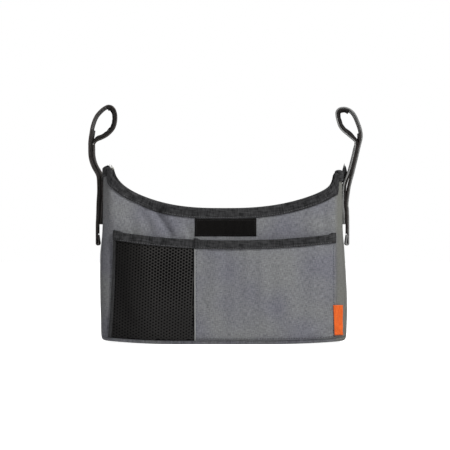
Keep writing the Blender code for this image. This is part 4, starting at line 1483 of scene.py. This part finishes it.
def make_stage():
    """A pale floor, soft light from the front and above, and a camera level with the bag's middle."""
    scene = bpy.context.scene
    scene.view_settings.view_transform = "Standard"
    camera_data = bpy.data.cameras.new("camera")
    camera_data.sensor_width = 36.0
    camera_data.lens = 169.8
    camera_data.clip_end = 50.0
    camera = bpy.data.objects.new("camera", camera_data)
    camera.location = (0.0034, -2.9, 0.160)
    camera.rotation_euler = (math.radians(90), 0.0, 0.0)
    scene.collection.objects.link(camera)
    scene.camera = camera

    world = bpy.data.worlds.new("studio")
    world.use_nodes = True
    tree = world.node_tree
    soft = tree.nodes["Background"]
    soft.inputs["Color"].default_value = (1.0, 1.0, 1.0, 1.0)
    soft.inputs["Strength"].default_value = 0.26
    white = add(tree, "ShaderNodeBackground", {"Color": (1.0, 1.0, 1.0, 1.0), "Strength": 1.0})
    path = add(tree, "ShaderNodeLightPath")
    seen = add(
        tree, "ShaderNodeMath",
        links={0: path.outputs["Is Camera Ray"], 1: path.outputs["Is Glossy Ray"]}, operation="MAXIMUM",
    )
    seen_all = add(
        tree, "ShaderNodeMath", links={0: seen.outputs[0], 1: path.outputs["Is Transmission Ray"]},
        operation="MAXIMUM",
    )
    chosen = add(
        tree, "ShaderNodeMixShader", links={0: seen_all.outputs[0], 1: soft.outputs[0], 2: white.outputs[0]},
    )
    tree.links.new(chosen.outputs[0], tree.nodes["World Output"].inputs["Surface"])
    scene.world = world

    floor_mesh = bpy.data.meshes.new("floor")
    reach = 6.0
    corners = [(-reach, -reach, 0.0), (reach, -reach, 0.0), (reach, reach, 0.0), (-reach, reach, 0.0)]
    floor_mesh.from_pydata(corners, [], [(0, 1, 2, 3)])
    floor_material, tree, shader = new_material("matte white floor", 1.0, gloss=0.0)
    shader.inputs["Base Color"].default_value = (0.8, 0.8, 0.8, 1.0)
    path = add(tree, "ShaderNodeLightPath")
    glow = add(tree, "ShaderNodeEmission", {"Color": (1.0, 1.0, 1.0, 1.0)})
    seen = add(
        tree, "ShaderNodeMath",
        links={0: path.outputs["Is Camera Ray"], 1: path.outputs["Is Glossy Ray"]}, operation="MAXIMUM",
    )
    strength = add(tree, "ShaderNodeMath", {1: 0.95}, {0: seen.outputs[0]}, operation="MULTIPLY")
    tree.links.new(strength.outputs[0], glow.inputs["Strength"])
    both = add(tree, "ShaderNodeAddShader", links={0: shader.outputs[0], 1: glow.outputs[0]})
    tree.links.new(both.outputs[0], tree.nodes["Material Output"].inputs["Surface"])
    floor_mesh.materials.append(floor_material)
    floor = bpy.data.objects.new("floor", floor_mesh)
    scene.collection.objects.link(floor)

    for name, place, size, watts in (
        ("key", (1.1, -1.7, 2.0), 0.7, 61.0),
        ("fill", (-0.8, -2.4, 0.7), 1.6, 6.0),
        ("top", (0.0, 0.4, 2.0), 1.5, 8.0),
    ):
        lamp_data = bpy.data.lights.new(name, "AREA")
        lamp_data.shape = "DISK"
        lamp_data.size = size
        lamp_data.energy = watts
        lamp = bpy.data.objects.new(name, lamp_data)
        lamp.location = place
        towards = Vector((0.0, 0.0, 0.14)) - Vector(place)
        lamp.rotation_euler = towards.to_track_quat("-Z", "Y").to_euler()
        scene.collection.objects.link(lamp)


settled_fields.append(settle())

make_walls()
make_lining()
make_base()
make_dividers()
make_rim_binding()
make_grey_pocket()
make_net_pocket()
make_patch()
make_strap("left", -1, strap_webbing, LEFT_SEWN, LEFT_CLOSURE, LEFT_LOOP, (0.196, 0.008, 0.0009))
make_strap("right", 1, highlit_webbing, RIGHT_SEWN, RIGHT_CLOSURE, RIGHT_LOOP, (0.214, 0.016, 0.0026))
make_tape_ends()
make_tag()
make_sewing()
make_stage()
